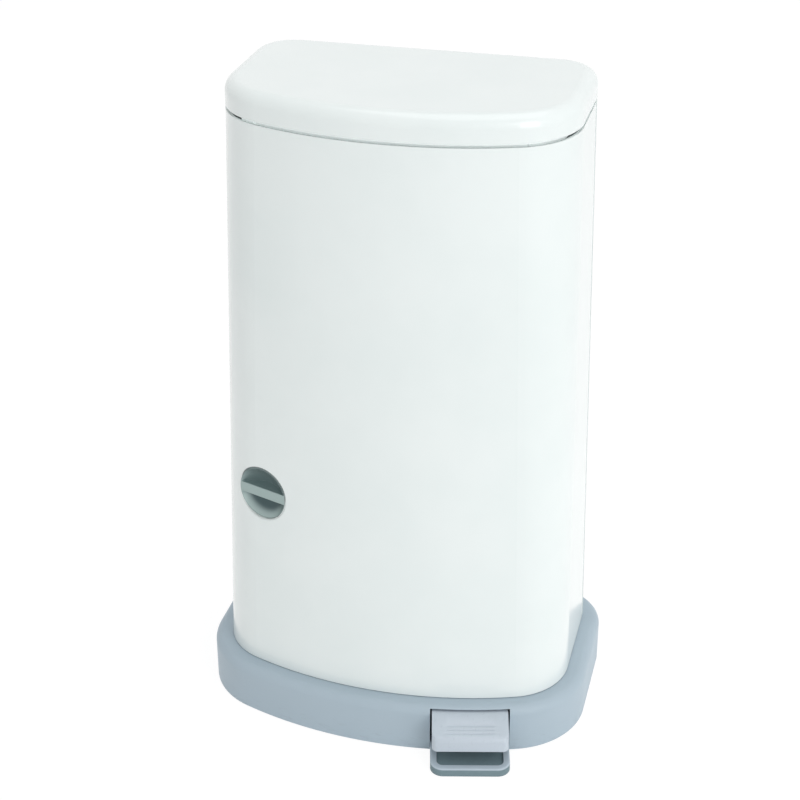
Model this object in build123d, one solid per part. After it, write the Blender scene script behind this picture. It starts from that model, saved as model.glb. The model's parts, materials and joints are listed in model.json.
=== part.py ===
from build123d import *
import math
import os

# A pedal-operated nappy bin. Millimetres, +X to its right, -Y to its front, +Z up.
# The origin is on the floor, in the middle of the footprint's box.

# ---------------------------------------------------------------- driving sizes
# Outer form
TOTAL_HEIGHT = 711.0
LID_RISE = 31.0
SKIRT_TOP = 56.0
TOP_HALF_WIDTH = 180.0
TOP_DEPTH = 218.0
BOW_RISE = 47.0
SIDE_DRAFT = 15.0
FRONT_RAKE = 21.0
REAR_CORNER_R = 43.0
FRONT_CORNER_R_TOP = 77.0
FRONT_CORNER_R_BOTTOM = 71.0
WALL = 3.0

# Base
SKIRT_OUT = 20.0
SKIRT_REAR_OUT = 15.0
SKIRT_EDGE_R = 10.0
FOOT_HEIGHT = 1.0
FOOT_R = 11.0
FOOT_EDGE_R = 0.5
FOOT_STEM_R = 3.0
FOOT_STEM = 2.8
FOOT_FROM_BACK = 20.0
FEET_SPREAD = 162.0
REAR_FOOT_INSET = 30.0
FRONT_FOOT_INSET = 45.0
PLATE_THICK = 4.0
PLATE_CLEAR = 0.5
TONGUE_OUT = 43.0
TONGUE_THICK = 9.6
TONGUE_CORNER_R = 14.0
TONGUE_RIM = 7.0
TONGUE_RECESS = 2.0
TONGUE_EDGE_R = 2.0
BASE_SCREW_LENGTH = 22.0
BASE_SCREW_TIP_ROOM = 2.0
SHELL_BOSS_DEPTH = 10.0
SHELL_BOSS_BORE = 8.0
SHELL_SCREW_GRIP = 6.0
PIN_BOSS_DEPTH = 8.0
PIN_BOSS_WALL = 3.0
PIN_SOCKET_DEPTH = 6.0
SCREW_FROM_BACK = 10.0
SCREW_FROM_BOW = 16.0
BASE_SCREW_INSET = 75.0
FRONT_SCREW_INSET = 100.0
SHELL_SCREW_INSET = 65.0
SHELL_SCREW_BEFORE_ROD = 70.0
SHELL_SCREW_AFTER_ROD = 40.0
DECK_SCREW_INSET = 35.0
DECK_SCREW_BESIDE_FOOT = 7.0
DECK_SCREW_BEHIND_ROD = 1.4

# Pedal
PEDAL_BOW_ANGLE = 13.6
PAD_WIDTH = 82.6
PAD_OUT = 31.0
PAD_BACK = 14.0
PAD_TOP = 51.2
PAD_CREST = 2.0
PAD_REAR_FALL = 0.15
PAD_LIP_TOP = 40.4
PAD_LIP_BOTTOM = 24.6
PAD_WALL = 3.0
PAD_CORNER_R = 7.0
PAD_EDGE_R = 1.2
PAD_GROOVE_R = 0.8
PAD_GROOVES = 3
PAD_GROOVE_PITCH = 4.5
PAD_GROOVE_FROM_LIP = 8.0
PAD_GROOVE_INSET = 12.0
SLOT_SIDE_GAP = 2.0
SLOT_TOP = 53.6
PEDAL_PIN_BACK = 50.0
PEDAL_PIN_Z = 32.0
PEDAL_PIN_R = 3.0
PEDAL_TRAVEL = 8.5
LEVER_WIDTH = 24.0
LEVER_HEIGHT = 10.0
LEVER_WEB = 3.0
LEVER_SEAT_OUT = 14.0
LEVER_SEAT_LIP = 6.0
LEVER_NECK_LOW = 4.0
LEVER_NECK_HIGH = 6.0
CHANNEL_START = 12.0
CHANNEL_END = 14.0
EAR_THICK = 5.0
EAR_GAP = 0.5
EAR_R = 8.0
EAR_FOOT_HALF = 14.0

# Lift rod
ROD_R = 4.0
ROD_FROM_BACK = 26.4
ROD_LOWER_GAP = 0.3
CAP_R = 9.0
CAP_HEIGHT = 6.0
CAP_CROWN = 2.0
COLLAR_R = 13.0
COLLAR_THICK = 4.0
COLLAR_HUB_R = 8.0
COLLAR_HUB_HEIGHT = 8.0
GUIDE_THICK = 6.0
GUIDE_REACH = 8.0
GUIDE_LOW_Z = 120.0
COVER_CRADLE_GAP = 6.0
COVER_HALF_WIDTH = 16.0
COVER_WALL = 2.0
COVER_CORNER_R = 4.0
COVER_FLANGE = 9.0

# Fits
RUN = 0.05
SEAT = 0.02
CRANK_GAP = 0.4
FACE_GAP = 0.2

# Deck and chute
DECK_OVER_SHELL = 1.4
DECK_THICK = 1.8
DECK_INSET = 4.0
DECK_REAR_GAP = 5.5
DOOR_SWEEP_CLEAR = 14.0
DECK_SCREW_GRIP = 5.0
CHUTE_LENGTH = 190.0
CHUTE_DEPTH = 108.0
CHUTE_FROM_BACK = 111.0
CHUTE_WALL = 2.0
CHUTE_DROP = 28.0
DECK_RIM_INSET = 14.0
DECK_RIM_DEPTH = 9.0
CRANK_SLOT_HALF = 11.0
CRANK_SLOT_FRONT = 2.0

# Back shell
BACK_TOP_DROP = 1.0
LEDGE_THICK = 3.0
LEDGE_DEPTH = 32.0
FLANGE_WIDTH = 14.0
SCREW_R = 1.5
SCREW_HEAD_R = 4.0
SCREW_HEAD_THICK = 2.2
LIP_REACH = 9.0
LIP_THICK = 2.0
LIP_ROOT = 4.0

# Door
HINGE_FROM_BACK = 47.0
HINGE_INSET = 5.0
HINGE_EDGE_GAP = 1.5
DOOR_EDGE_GAP = 1.2
DOOR_BOTTOM_GAP = 0.8
DOOR_PIN_R = 2.0
DOOR_PIN_DEPTH = 14.0

# Posts that carry the deck, beside the latch
POST_WIDTH = 14.0
POST_DEPTH = 16.0
POST_WALL = 2.0
POST_SIDE = 19.9
POST_IN = 37.3

# Turn knob and latch
KNOB_FROM_SIDE = 55.2
KNOB_Z = 272.0
CUP_R = 31.0
CUP_WALL = 1.0
CUP_DEPTH = 18.0
CUP_FLOOR_R = 19.0
CUP_HOLE_GAP = 0.3
CUP_FLANGE_R = 36.0
CUP_FLANGE_THICK = 2.0
CUP_BEND_DEPTH = 3.0
KNOB_GAP = 0.4
GRIP_HALF = 5.8
GRIP_FLARE = 4.0
GRIP_EDGE_R = 0.8
GRIP_SINK = 1.1
DISH_LIP = 0.5
DISH_DEPTH = 14.0
SHAFT_R = 4.0
CUP_BOSS_R = 7.5
CUP_BOSS_DEPTH = 4.0
CAM_HUB_R = 7.0
CAM_LENGTH = 24.0
CAM_WIDTH = 10.0
CAM_THICK = 4.0
KEEPER_THICK = 4.0
KEEPER_LOW = 12.0
KEEPER_HIGH = 28.0
KEEPER_REACH = 8.0
KEEPER_CORNER_R = 3.0
CAM_KEEPER_GAP = 0.3

# Lid
LID_GAP = 0.4
LID_WALL = 2.5
LID_EDGE_R = 14.0
LID_PIN_R = 2.5
LID_PIN_FROM_BACK = 7.5
LID_PIN_OVER_SHELL = 9.0
LID_OPEN = 75.0
LID_KNUCKLE_R = 4.8
LID_KNUCKLE_WIDTH = 6.0
LID_KNUCKLE_GAP = 0.3
LID_PIN_END = 2.0
PANEL_REAR_GAP = 10.0
KNUCKLE_ROOT = 12.0
HINGE_BESIDE_ROD = 29.87
HINGE_EAR_WIDTH = 10.0
HINGE_FOOT_HALF = 13.0
HINGE_FOOT_DEPTH = 11.0
HINGE_FOOT_THICK = 2.0
PANEL_OVER_PIN = 1.0
PANEL_THICK = 2.0
PANEL_GAP = 0.3
PANEL_POST_R = 4.0
PANEL_POST_INSET = 60.0
PANEL_POST_SPREAD = 62.0
SEAL_WIDTH = 5.0
SEAL_OUT = 6.0
SEAL_HEIGHT = 3.0
CRANK_TIP_R = 4.0
CRANK_FINGER_HALF = 3.2
CRANK_BAR = 6.0
LEVER_FOOT = 30.0
CRANK_WIDTH = 8.0

# Trap under the chute
TRAP_PIN_DROP = 4.0
TRAP_PIN_R = 2.0
TRAP_KNUCKLE_R = 4.5
TRAP_PLATE = 2.5
TRAP_SEAL = 1.5
TRAP_SEAL_WIDTH = 4.0
TRAP_LAP = 2.0
TRAP_HINGE_BESIDE_ROD = 9.87
TRAP_KNUCKLE_WIDTH = 12.0
TRAP_EAR_THICK = 5.0
TRAP_EAR_GAP = 0.5
TRAP_EAR_R = 5.0
TRAP_CRANK_WIDTH = 5.5
TRAP_CRANK_GAP = 1.5
SPRING_R = 3.4
SPRING_WIRE = 1.0
SPRING_LENGTH = 8.0
SPRING_LEG = 13.0
SPRING_LEG_TILT = 29.5

# Liner cartridge and its cradle
CARTRIDGE_DROP = 41.0
CARTRIDGE_HEIGHT = 36.0
CARTRIDGE_CLEAR = 8.0
CARTRIDGE_WIDTH = 14.0
CARTRIDGE_WALL = 3.0
CARTRIDGE_FLOOR = 12.0
CARTRIDGE_CORNER_R = 12.0
CRADLE_THICK = 3.0
CRADLE_LIP = 6.0
HANGER_WIDTH = 60.0
HANGER_THICK = 3.0

# Liner cutter
CUTTER_LENGTH = 44.0
CUTTER_DEPTH = 16.0
CUTTER_HEIGHT = 26.0
CUTTER_Z = 470.0
CUTTER_SLOT = 3.0
BLADE_THICK = 0.8
BLADE_LENGTH = 12.0
BLADE_INSET = 4.0

# ---------------------------------------------------------------- sizes that follow
SHELL_TOP = TOTAL_HEIGHT - LID_RISE
BODY_HEIGHT = SHELL_TOP - SKIRT_TOP
BOTTOM_HALF_WIDTH = TOP_HALF_WIDTH + SIDE_DRAFT
BOTTOM_DEPTH = TOP_DEPTH + FRONT_RAKE
DECK_UNDERSIDE = SHELL_TOP + DECK_OVER_SHELL
DECK_TOP = DECK_UNDERSIDE + DECK_THICK
LID_BOTTOM = DECK_TOP + LID_GAP
LID_PIN_Z = SHELL_TOP + LID_PIN_OVER_SHELL
PANEL_Z = LID_PIN_Z + PANEL_OVER_PIN
CHUTE_BOTTOM = SHELL_TOP - CHUTE_DROP
TRAP_PIN_Z = CHUTE_BOTTOM - TRAP_PIN_DROP
CARTRIDGE_TOP = CHUTE_BOTTOM - CARTRIDGE_DROP
PLATE_TOP = FOOT_HEIGHT + PLATE_THICK
TONGUE_TOP = FOOT_HEIGHT + TONGUE_THICK
TONGUE_WIDTH = PAD_WIDTH + 2 * (SLOT_SIDE_GAP - FACE_GAP)
CRADLE_LOW = CARTRIDGE_TOP - CARTRIDGE_HEIGHT - CRADLE_THICK
COVER_TOP = CRADLE_LOW - COVER_CRADLE_GAP - GUIDE_THICK
FLOOR_UNDERSIDE = SKIRT_TOP - WALL

# The skirt's bow is an arc round a centre behind the bin.
BOW_R_BOTTOM = (BOTTOM_HALF_WIDTH ** 2 + BOW_RISE ** 2) / (2 * BOW_RISE)
SKIRT_BOW_R = BOW_R_BOTTOM + SKIRT_OUT


def tongue_reach():
    """How far the tongue's rounded front corner lies in front of the bow's centre."""
    yaw = math.radians(PEDAL_BOW_ANGLE)
    out = SKIRT_BOW_R + TONGUE_OUT - TONGUE_CORNER_R
    side = TONGUE_WIDTH / 2 - TONGUE_CORNER_R
    return out * math.cos(yaw) + side * math.sin(yaw) + TONGUE_CORNER_R


# The footprint runs from the skirt's back to the tongue's front corner, with y = 0 between them.
FOOTPRINT_DEPTH = tongue_reach() - BOW_R_BOTTOM + BOTTOM_DEPTH + SKIRT_REAR_OUT
BACK_Y = FOOTPRINT_DEPTH / 2 - SKIRT_REAR_OUT
BOW_CENTRE_Y = BACK_Y - BOTTOM_DEPTH + BOW_R_BOTTOM

# Door hinge: its axis leans in with the side wall.
HINGE_Y = BACK_Y - HINGE_FROM_BACK
HINGE_LOW = Vector(BOTTOM_HALF_WIDTH - HINGE_INSET, HINGE_Y, SKIRT_TOP)
HINGE_HIGH = Vector(TOP_HALF_WIDTH - HINGE_INSET, HINGE_Y, SHELL_TOP)
SPLIT_Y = HINGE_Y + HINGE_INSET + HINGE_EDGE_GAP

# Pedal frame: its origin is on the skirt's bow, with local -Y pointing straight out.
PEDAL_YAW = PEDAL_BOW_ANGLE
PEDAL_X = SKIRT_BOW_R * math.sin(math.radians(PEDAL_YAW))
PEDAL_Y = BOW_CENTRE_Y - SKIRT_BOW_R * math.cos(math.radians(PEDAL_YAW))
PEDAL_PLACE = Pos(PEDAL_X, PEDAL_Y, 0) * Rot(0, 0, PEDAL_YAW)

# Lift rod: it stands where the lever's centre line meets the rod's distance from the back.
ROD_Y = BACK_Y - ROD_FROM_BACK
REAR_ARM = (ROD_Y - PEDAL_Y) / math.cos(math.radians(PEDAL_YAW)) - PEDAL_PIN_BACK
ROD_X = PEDAL_X - (REAR_ARM + PEDAL_PIN_BACK) * math.sin(math.radians(PEDAL_YAW))
ROD_LIFT = 2 * REAR_ARM * math.sin(math.radians(PEDAL_TRAVEL / 2))
LEVER_TIP_Z = PEDAL_PIN_Z - ROD_LIFT / 2
ROD_BOTTOM = LEVER_TIP_Z + LEVER_HEIGHT / 2 + ROD_LOWER_GAP

# Both cranks swing equally below and above their pins while the rod rises.
CRANK_R = ROD_LIFT / (2 * math.sin(math.radians(LID_OPEN / 2)))
CRANK_OUT = CRANK_R * math.cos(math.radians(LID_OPEN / 2))
CRANK_DROP = ROD_LIFT / 2
LID_PIN_Y = BACK_Y - LID_PIN_FROM_BACK
CAP_TOP = LID_PIN_Z - CRANK_DROP - CRANK_TIP_R - CRANK_GAP
TRAP_PIN_Y = ROD_Y - (CRANK_R + CRANK_OUT) / 2
COLLAR_TOP = TRAP_PIN_Z - CRANK_DROP - CRANK_TIP_R - CRANK_GAP
DECK_REAR_Y = LID_PIN_Y - DECK_REAR_GAP
CHUTE_Y = BACK_Y - CHUTE_FROM_BACK
HINGE_X = ROD_X + HINGE_BESIDE_ROD
TRAP_HINGE_X = ROD_X + TRAP_HINGE_BESIDE_ROD


# ---------------------------------------------------------------- shared shapes
def block(x0, x1, y0, y1, z0, z1):
    """A box between two corners."""
    return Pos((x0 + x1) / 2, (y0 + y1) / 2, (z0 + z1) / 2) * Box(x1 - x0, y1 - y0, z1 - z0)


def upright(x, y, z0, z1, radius):
    """A vertical cylinder."""
    return Pos(x, y, (z0 + z1) / 2) * Cylinder(radius, z1 - z0)


def crossbar(x0, x1, y, z, radius):
    """A cylinder along X."""
    return Pos((x0 + x1) / 2, y, z) * Rot(0, 90, 0) * Cylinder(radius, x1 - x0)


def side_profile(points, x0, x1):
    """A (y, z) polygon drawn out from x0 to x1."""
    face = make_face(Polyline(*[(0, y, z) for y, z in points], close=True))
    return Pos(x0, 0, 0) * extrude(face, x1 - x0, dir=(1, 0, 0))


def share(z):
    """0 at the skirt's top, 1 at the shell's top."""
    return (z - SKIRT_TOP) / BODY_HEIGHT


def half_width(z):
    return BOTTOM_HALF_WIDTH - SIDE_DRAFT * share(z)


def body_outline(z, inset=0.0, rear_y=BACK_Y):
    """The body's plan at a height: flat back, straight sides and a bowed front."""
    half = half_width(z)
    apex = BACK_Y - BOTTOM_DEPTH + FRONT_RAKE * share(z)
    side = apex + BOW_RISE
    front_r = FRONT_CORNER_R_BOTTOM + (FRONT_CORNER_R_TOP - FRONT_CORNER_R_BOTTOM) * share(z)
    edges = [
        Line((half, side), (half, rear_y)),
        Line((half, rear_y), (-half, rear_y)),
        Line((-half, rear_y), (-half, side)),
        ThreePointArc((-half, side), (0, apex), (half, side)),
    ]
    plan = make_face(edges)
    plan = fillet(plan.vertices().group_by(Axis.Y)[-1], REAR_CORNER_R)
    plan = fillet(plan.vertices().group_by(Axis.Y)[0], front_r)
    if inset:
        plan = offset(plan, -inset, kind=Kind.INTERSECTION)
    return plan


def body_solid(z0, z1, inset=0.0):
    """The tapering body between two heights, inset from its outer surface."""
    lower = Pos(0, 0, z0) * body_outline(z0, inset)
    upper = Pos(0, 0, z1) * body_outline(z1, inset)
    return loft([lower, upper], ruled=True)


def stadium(grow, z0, z1):
    """The chute's round-ended plan, grown all round and drawn between two heights."""
    plan = SlotOverall(CHUTE_LENGTH + 2 * grow, CHUTE_DEPTH + 2 * grow)
    return Pos(0, CHUTE_Y, z0) * extrude(plan, z1 - z0)


def stadium_ring(inner, outer, z0, z1):
    return stadium(outer, z0, z1) - stadium(inner, z0, z1)


def ring_plan(grow):
    """The cartridge's plan: a rounded rectangle grown from the chute's size."""
    corner = CARTRIDGE_CORNER_R + grow
    return RectangleRounded(CHUTE_LENGTH + 2 * grow, CHUTE_DEPTH + 2 * grow, corner)


def square_ring(inner, outer, z0, z1):
    return Pos(0, CHUTE_Y, z0) * extrude(ring_plan(outer) - ring_plan(inner), z1 - z0)


def skirt_outline(out):
    """The body's foot grown all round, a little less at the back than elsewhere."""
    foot = body_outline(SKIRT_TOP, rear_y=BACK_Y + SKIRT_REAR_OUT - SKIRT_OUT)
    return offset(foot, out, kind=Kind.ARC)


KNOB_X = KNOB_FROM_SIDE - half_width(KNOB_Z)


def knob_frame():
    """A frame on the body's bow, with local -Y straight out and the knob's axis on it."""
    half = half_width(KNOB_Z)
    radius = (half ** 2 + BOW_RISE ** 2) / (2 * BOW_RISE)
    centre_y = BACK_Y - BOTTOM_DEPTH + FRONT_RAKE * share(KNOB_Z) + radius
    angle = math.degrees(math.asin(-KNOB_X / radius))
    y = centre_y - radius * math.cos(math.radians(angle))
    return y, angle


KNOB_Y, KNOB_YAW = knob_frame()
KNOB_PLACE = Pos(KNOB_X, KNOB_Y, KNOB_Z) * Rot(0, 0, -KNOB_YAW)

KEEPER_FRONT = POST_IN - POST_DEPTH / 2 - KEEPER_THICK
CAM_FRONT = POST_IN - POST_DEPTH / 2 + CAM_KEEPER_GAP
CAM_BACK = CAM_FRONT + CAM_THICK


def bow_y(x):
    """The front of the body's foot at a distance from the middle."""
    return BOW_CENTRE_Y - math.sqrt(BOW_R_BOTTOM ** 2 - x ** 2)


def both_sides(x, y):
    return [(-x, y), (x, y)]


REAR_FOOT_Y = BACK_Y - FOOT_FROM_BACK
FOOT_PLACES = both_sides(BOTTOM_HALF_WIDTH - REAR_FOOT_INSET, REAR_FOOT_Y)
FOOT_PLACES += both_sides(BOTTOM_HALF_WIDTH - FRONT_FOOT_INSET, REAR_FOOT_Y - FEET_SPREAD)
BASE_SCREW_PLACES = both_sides(BOTTOM_HALF_WIDTH - BASE_SCREW_INSET, BACK_Y - SCREW_FROM_BACK)
for screw_x in (FRONT_SCREW_INSET - BOTTOM_HALF_WIDTH, PEDAL_X - PAD_WIDTH):
    BASE_SCREW_PLACES.append((screw_x, bow_y(screw_x) + SCREW_FROM_BOW))
SHELL_SCREW_PLACES = both_sides(BOTTOM_HALF_WIDTH - SHELL_SCREW_INSET, BACK_Y - SCREW_FROM_BACK)
for screw_x in (ROD_X - SHELL_SCREW_BEFORE_ROD, ROD_X + SHELL_SCREW_AFTER_ROD):
    SHELL_SCREW_PLACES.append((screw_x, BACK_Y - SCREW_FROM_BACK))
DECK_SCREW_Y = ROD_Y + DECK_SCREW_BEHIND_ROD
DECK_SCREW_PLACES = both_sides(TOP_HALF_WIDTH - DECK_SCREW_INSET, DECK_SCREW_Y)
DECK_SCREW_PLACES += both_sides(HINGE_X + HINGE_FOOT_HALF + DECK_SCREW_BESIDE_FOOT, DECK_SCREW_Y)


# ---------------------------------------------------------------- base
def base_skirt():
    """A moulded tray, open below, whose top is the floor of the bin."""
    outer = Pos(0, 0, FOOT_HEIGHT) * extrude(skirt_outline(SKIRT_OUT), SKIRT_TOP - FOOT_HEIGHT)
    outer = fillet(outer.faces().sort_by(Axis.Z)[-1].edges(), SKIRT_EDGE_R)
    inner = Pos(0, 0, FOOT_HEIGHT) * extrude(skirt_outline(SKIRT_OUT - WALL), FLOOR_UNDERSIDE - FOOT_HEIGHT)
    inner = fillet(inner.faces().sort_by(Axis.Z)[-1].edges(), SKIRT_EDGE_R - WALL)
    tray = outer - inner
    slot_half = PAD_WIDTH / 2 + SLOT_SIDE_GAP
    slot = block(-slot_half, slot_half, -SKIRT_EDGE_R, PAD_BACK + SLOT_SIDE_GAP, 0, SLOT_TOP)
    tray -= PEDAL_PLACE * slot
    for x, y in BASE_SCREW_PLACES:
        tray += upright(x, y, PLATE_TOP, FLOOR_UNDERSIDE, SCREW_HEAD_R + 1)
        tray -= upright(x, y, 0, FOOT_HEIGHT + BASE_SCREW_LENGTH + BASE_SCREW_TIP_ROOM, SCREW_R + RUN)
    for x, y in SHELL_SCREW_PLACES:
        tray += upright(x, y, FLOOR_UNDERSIDE - SHELL_BOSS_DEPTH, FLOOR_UNDERSIDE, SCREW_HEAD_R)
        tray -= upright(x, y, FLOOR_UNDERSIDE - SHELL_BOSS_BORE, SKIRT_TOP, SCREW_R + RUN)
    tray -= upright(ROD_X, ROD_Y, 0, SKIRT_TOP, ROD_R + RUN)
    boss_low = FLOOR_UNDERSIDE - PIN_BOSS_DEPTH
    tray += upright(HINGE_LOW.X, HINGE_Y, boss_low, FLOOR_UNDERSIDE, DOOR_PIN_R + PIN_BOSS_WALL)
    tray -= hinge_stub(FLOOR_UNDERSIDE - PIN_SOCKET_DEPTH, SKIRT_TOP + 5, DOOR_PIN_R + SEAT)
    return tray


def base_plate():
    """The closing plate, with the foot tongue and the two ears of the pedal's pin."""
    plate = extrude(skirt_outline(SKIRT_OUT - WALL - PLATE_CLEAR), PLATE_THICK)
    plate = Pos(0, 0, FOOT_HEIGHT) * plate
    half = TONGUE_WIDTH / 2
    tongue = block(-half, half, -TONGUE_OUT, PAD_BACK, FOOT_HEIGHT, TONGUE_TOP)
    tongue = fillet(tongue.edges().filter_by(Axis.Z).group_by(Axis.Y)[0], TONGUE_CORNER_R)
    tongue = fillet(tongue.faces().sort_by(Axis.Z)[-1].edges().group_by(Axis.Y)[:-1], TONGUE_EDGE_R)
    inner = half - TONGUE_RIM
    recess = block(-inner, inner, TONGUE_RIM - TONGUE_OUT, PAD_BACK, TONGUE_TOP - TONGUE_RECESS, TONGUE_TOP)
    tongue -= fillet(recess.edges().filter_by(Axis.Z).group_by(Axis.Y)[0], TONGUE_CORNER_R - TONGUE_RIM)
    plate += PEDAL_PLACE * tongue
    for side in (-1, 1):
        near = side * (LEVER_WIDTH / 2 + EAR_GAP)
        far = near + side * EAR_THICK
        low, high = min(near, far), max(near, far)
        rear, front = PEDAL_PIN_BACK + EAR_FOOT_HALF, PEDAL_PIN_BACK - EAR_FOOT_HALF
        ear = block(low, high, front, rear, FOOT_HEIGHT, PEDAL_PIN_Z)
        ear += crossbar(low, high, PEDAL_PIN_BACK, PEDAL_PIN_Z, EAR_R)
        plate += PEDAL_PLACE * ear
    plate -= PEDAL_PLACE * crossbar(-half, half, PEDAL_PIN_BACK, PEDAL_PIN_Z, PEDAL_PIN_R + SEAT)
    for x, y in FOOT_PLACES:
        plate -= upright(x, y, 0, FOOT_HEIGHT + FOOT_STEM + FACE_GAP, FOOT_STEM_R + RUN)
    for x, y in BASE_SCREW_PLACES:
        plate -= upright(x, y, 0, PLATE_TOP, SCREW_R + RUN)
        plate -= upright(x, y, 0, FOOT_HEIGHT + SCREW_HEAD_THICK, SCREW_HEAD_R + RUN)
    return plate


def rubber_feet():
    feet = Part()
    for x, y in FOOT_PLACES:
        pad = fillet(upright(x, y, 0, FOOT_HEIGHT, FOOT_R).edges().group_by(Axis.Z)[0], FOOT_EDGE_R)
        feet += pad + upright(x, y, FOOT_HEIGHT, FOOT_HEIGHT + FOOT_STEM, FOOT_STEM_R)
    return feet


def base_screws():
    screws = Part()
    head_top = FOOT_HEIGHT + SCREW_HEAD_THICK
    for x, y in BASE_SCREW_PLACES:
        screws += upright(x, y, FOOT_HEIGHT, head_top, SCREW_HEAD_R)
        screws += upright(x, y, head_top, FOOT_HEIGHT + BASE_SCREW_LENGTH, SCREW_R)
    return screws


# ---------------------------------------------------------------- pedal
def pedal_pin():
    reach = LEVER_WIDTH / 2 + EAR_GAP + EAR_THICK
    return PEDAL_PLACE * crossbar(-reach, reach, PEDAL_PIN_BACK, PEDAL_PIN_Z, PEDAL_PIN_R)


def pad_slope():
    return (PAD_TOP - PAD_LIP_TOP) / (PAD_OUT + PAD_CREST)


def pad_top_z(y):
    """Height of the pad's sloping top, y measured inwards from the skirt's bow."""
    behind = y - PAD_CREST
    return PAD_TOP + behind * pad_slope() if behind < 0 else PAD_TOP - behind * PAD_REAR_FALL


def pedal_pad():
    """A hollow wedge with a deep front lip and fine grooves across its toe."""
    half = PAD_WIDTH / 2
    rise = [(PAD_BACK, PEDAL_PIN_Z), (PAD_BACK, pad_top_z(PAD_BACK)), (PAD_CREST, PAD_TOP)]
    wedge = side_profile(rise + [(-PAD_OUT, PAD_LIP_TOP), (-PAD_OUT, PAD_LIP_BOTTOM)], -half, half)
    wedge = fillet(wedge.edges().filter_by(Axis.Z).group_by(Axis.Y)[0], PAD_CORNER_R)
    slope = wedge.faces().sort_by(Axis.Y)[0].center().Z
    rim = [edge for edge in wedge.edges() if edge.center().Z > slope and abs(edge.center().Y - PAD_BACK) > 1]
    wedge = fillet([edge for edge in rim if edge.center().Y < 0], PAD_EDGE_R)
    t = PAD_WALL
    hollow = [(PAD_BACK + 1, 0), (PAD_BACK + 1, pad_top_z(PAD_BACK) - t), (PAD_CREST, PAD_TOP - t)]
    hollow += [(-PAD_OUT + t, PAD_LIP_TOP - t + t * pad_slope()), (-PAD_OUT + t, 0)]
    wedge -= side_profile(hollow, -half + t, half - t)
    for i in range(PAD_GROOVES):
        y = -PAD_OUT + PAD_GROOVE_FROM_LIP + i * PAD_GROOVE_PITCH
        end = half - PAD_GROOVE_INSET
        wedge -= crossbar(-end, end, y, pad_top_z(y) + PAD_GROOVE_R / 2, PAD_GROOVE_R)
    return PEDAL_PLACE * wedge


def pedal_lever():
    """A channel-section lever, level at mid travel, with its front seat under the pad."""
    half = LEVER_WIDTH / 2
    rest_tilt = -PEDAL_TRAVEL / 2
    bar = block(-half, half, 0, REAR_ARM, -LEVER_HEIGHT / 2, LEVER_HEIGHT / 2)
    web = half - LEVER_WEB
    bar -= block(-web, web, CHANNEL_START, REAR_ARM - CHANNEL_END, 0, LEVER_HEIGHT)
    bar += crossbar(-half, half, REAR_ARM, 0, LEVER_HEIGHT / 2)
    bar += crossbar(-half, half, 0, 0, EAR_R)
    bar = Pos(0, PEDAL_PIN_BACK, PEDAL_PIN_Z) * Rot(rest_tilt, 0, 0) * bar
    t = PAD_WALL
    front = -LEVER_SEAT_OUT
    seat = [(PEDAL_PIN_BACK, PEDAL_PIN_Z - LEVER_NECK_LOW), (PEDAL_PIN_BACK, PEDAL_PIN_Z + LEVER_NECK_HIGH)]
    seat += [(PAD_BACK, pad_top_z(PAD_BACK) - t), (PAD_CREST, PAD_TOP - t)]
    seat += [(front, pad_top_z(front) - t), (front, pad_top_z(front) - t - LEVER_SEAT_LIP)]
    seat += [(PAD_BACK, PEDAL_PIN_Z)]
    arm = side_profile(seat, -half, half) + bar
    arm -= crossbar(-half - 1, half + 1, PEDAL_PIN_BACK, PEDAL_PIN_Z, PEDAL_PIN_R + RUN)
    return PEDAL_PLACE * arm


# ---------------------------------------------------------------- lift rod
def lift_rod():
    rod = upright(ROD_X, ROD_Y, ROD_BOTTOM, CAP_TOP - CAP_CROWN, ROD_R)
    return chamfer(rod.edges().group_by(Axis.Z)[0], 0.6)


def rod_cap():
    cap = upright(ROD_X, ROD_Y, CAP_TOP - CAP_HEIGHT, CAP_TOP, CAP_R)
    cap = fillet(cap.edges().group_by(Axis.Z)[-1], 1)
    return cap - upright(ROD_X, ROD_Y, CAP_TOP - CAP_HEIGHT, CAP_TOP - CAP_CROWN, ROD_R + SEAT)


def rod_collar():
    flange = upright(ROD_X, ROD_Y, COLLAR_TOP - COLLAR_THICK, COLLAR_TOP, COLLAR_R)
    hub_low = COLLAR_TOP - COLLAR_THICK - COLLAR_HUB_HEIGHT
    hub = upright(ROD_X, ROD_Y, hub_low, COLLAR_TOP - COLLAR_THICK, COLLAR_HUB_R)
    return flange + hub - upright(ROD_X, ROD_Y, hub_low, COLLAR_TOP, ROD_R + SEAT)


def rod_guides():
    """Two bored blocks on the rear wall."""
    guides = Part()
    half = COVER_HALF_WIDTH - COVER_WALL - FACE_GAP
    for z in (GUIDE_LOW_Z, COVER_TOP + 1):
        guide = block(ROD_X - half, ROD_X + half, ROD_Y - GUIDE_REACH, BACK_Y - WALL, z, z + GUIDE_THICK)
        guides += guide - upright(ROD_X, ROD_Y, z, z + GUIDE_THICK, ROD_R + RUN)
    return guides


def rod_cover():
    """A channel on the rear wall that keeps the bag off the rod."""
    front = ROD_Y - GUIDE_REACH - FACE_GAP - COVER_WALL
    rear = BACK_Y - WALL
    half = COVER_HALF_WIDTH
    cover = block(ROD_X - half, ROD_X + half, front, rear, SKIRT_TOP, COVER_TOP)
    cover = fillet(cover.edges().filter_by(Axis.Z).group_by(Axis.Y)[0], COVER_CORNER_R)
    inner = half - COVER_WALL
    cover -= block(ROD_X - inner, ROD_X + inner, front + COVER_WALL, rear, SKIRT_TOP, COVER_TOP)
    for side in (-1, 1):
        near = ROD_X + side * (half - COVER_WALL)
        far = ROD_X + side * (half + COVER_FLANGE)
        low, high = min(near, far), max(near, far)
        cover += block(low, high, rear - COVER_WALL, rear, SKIRT_TOP + WALL, COVER_TOP)
    return cover


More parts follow.
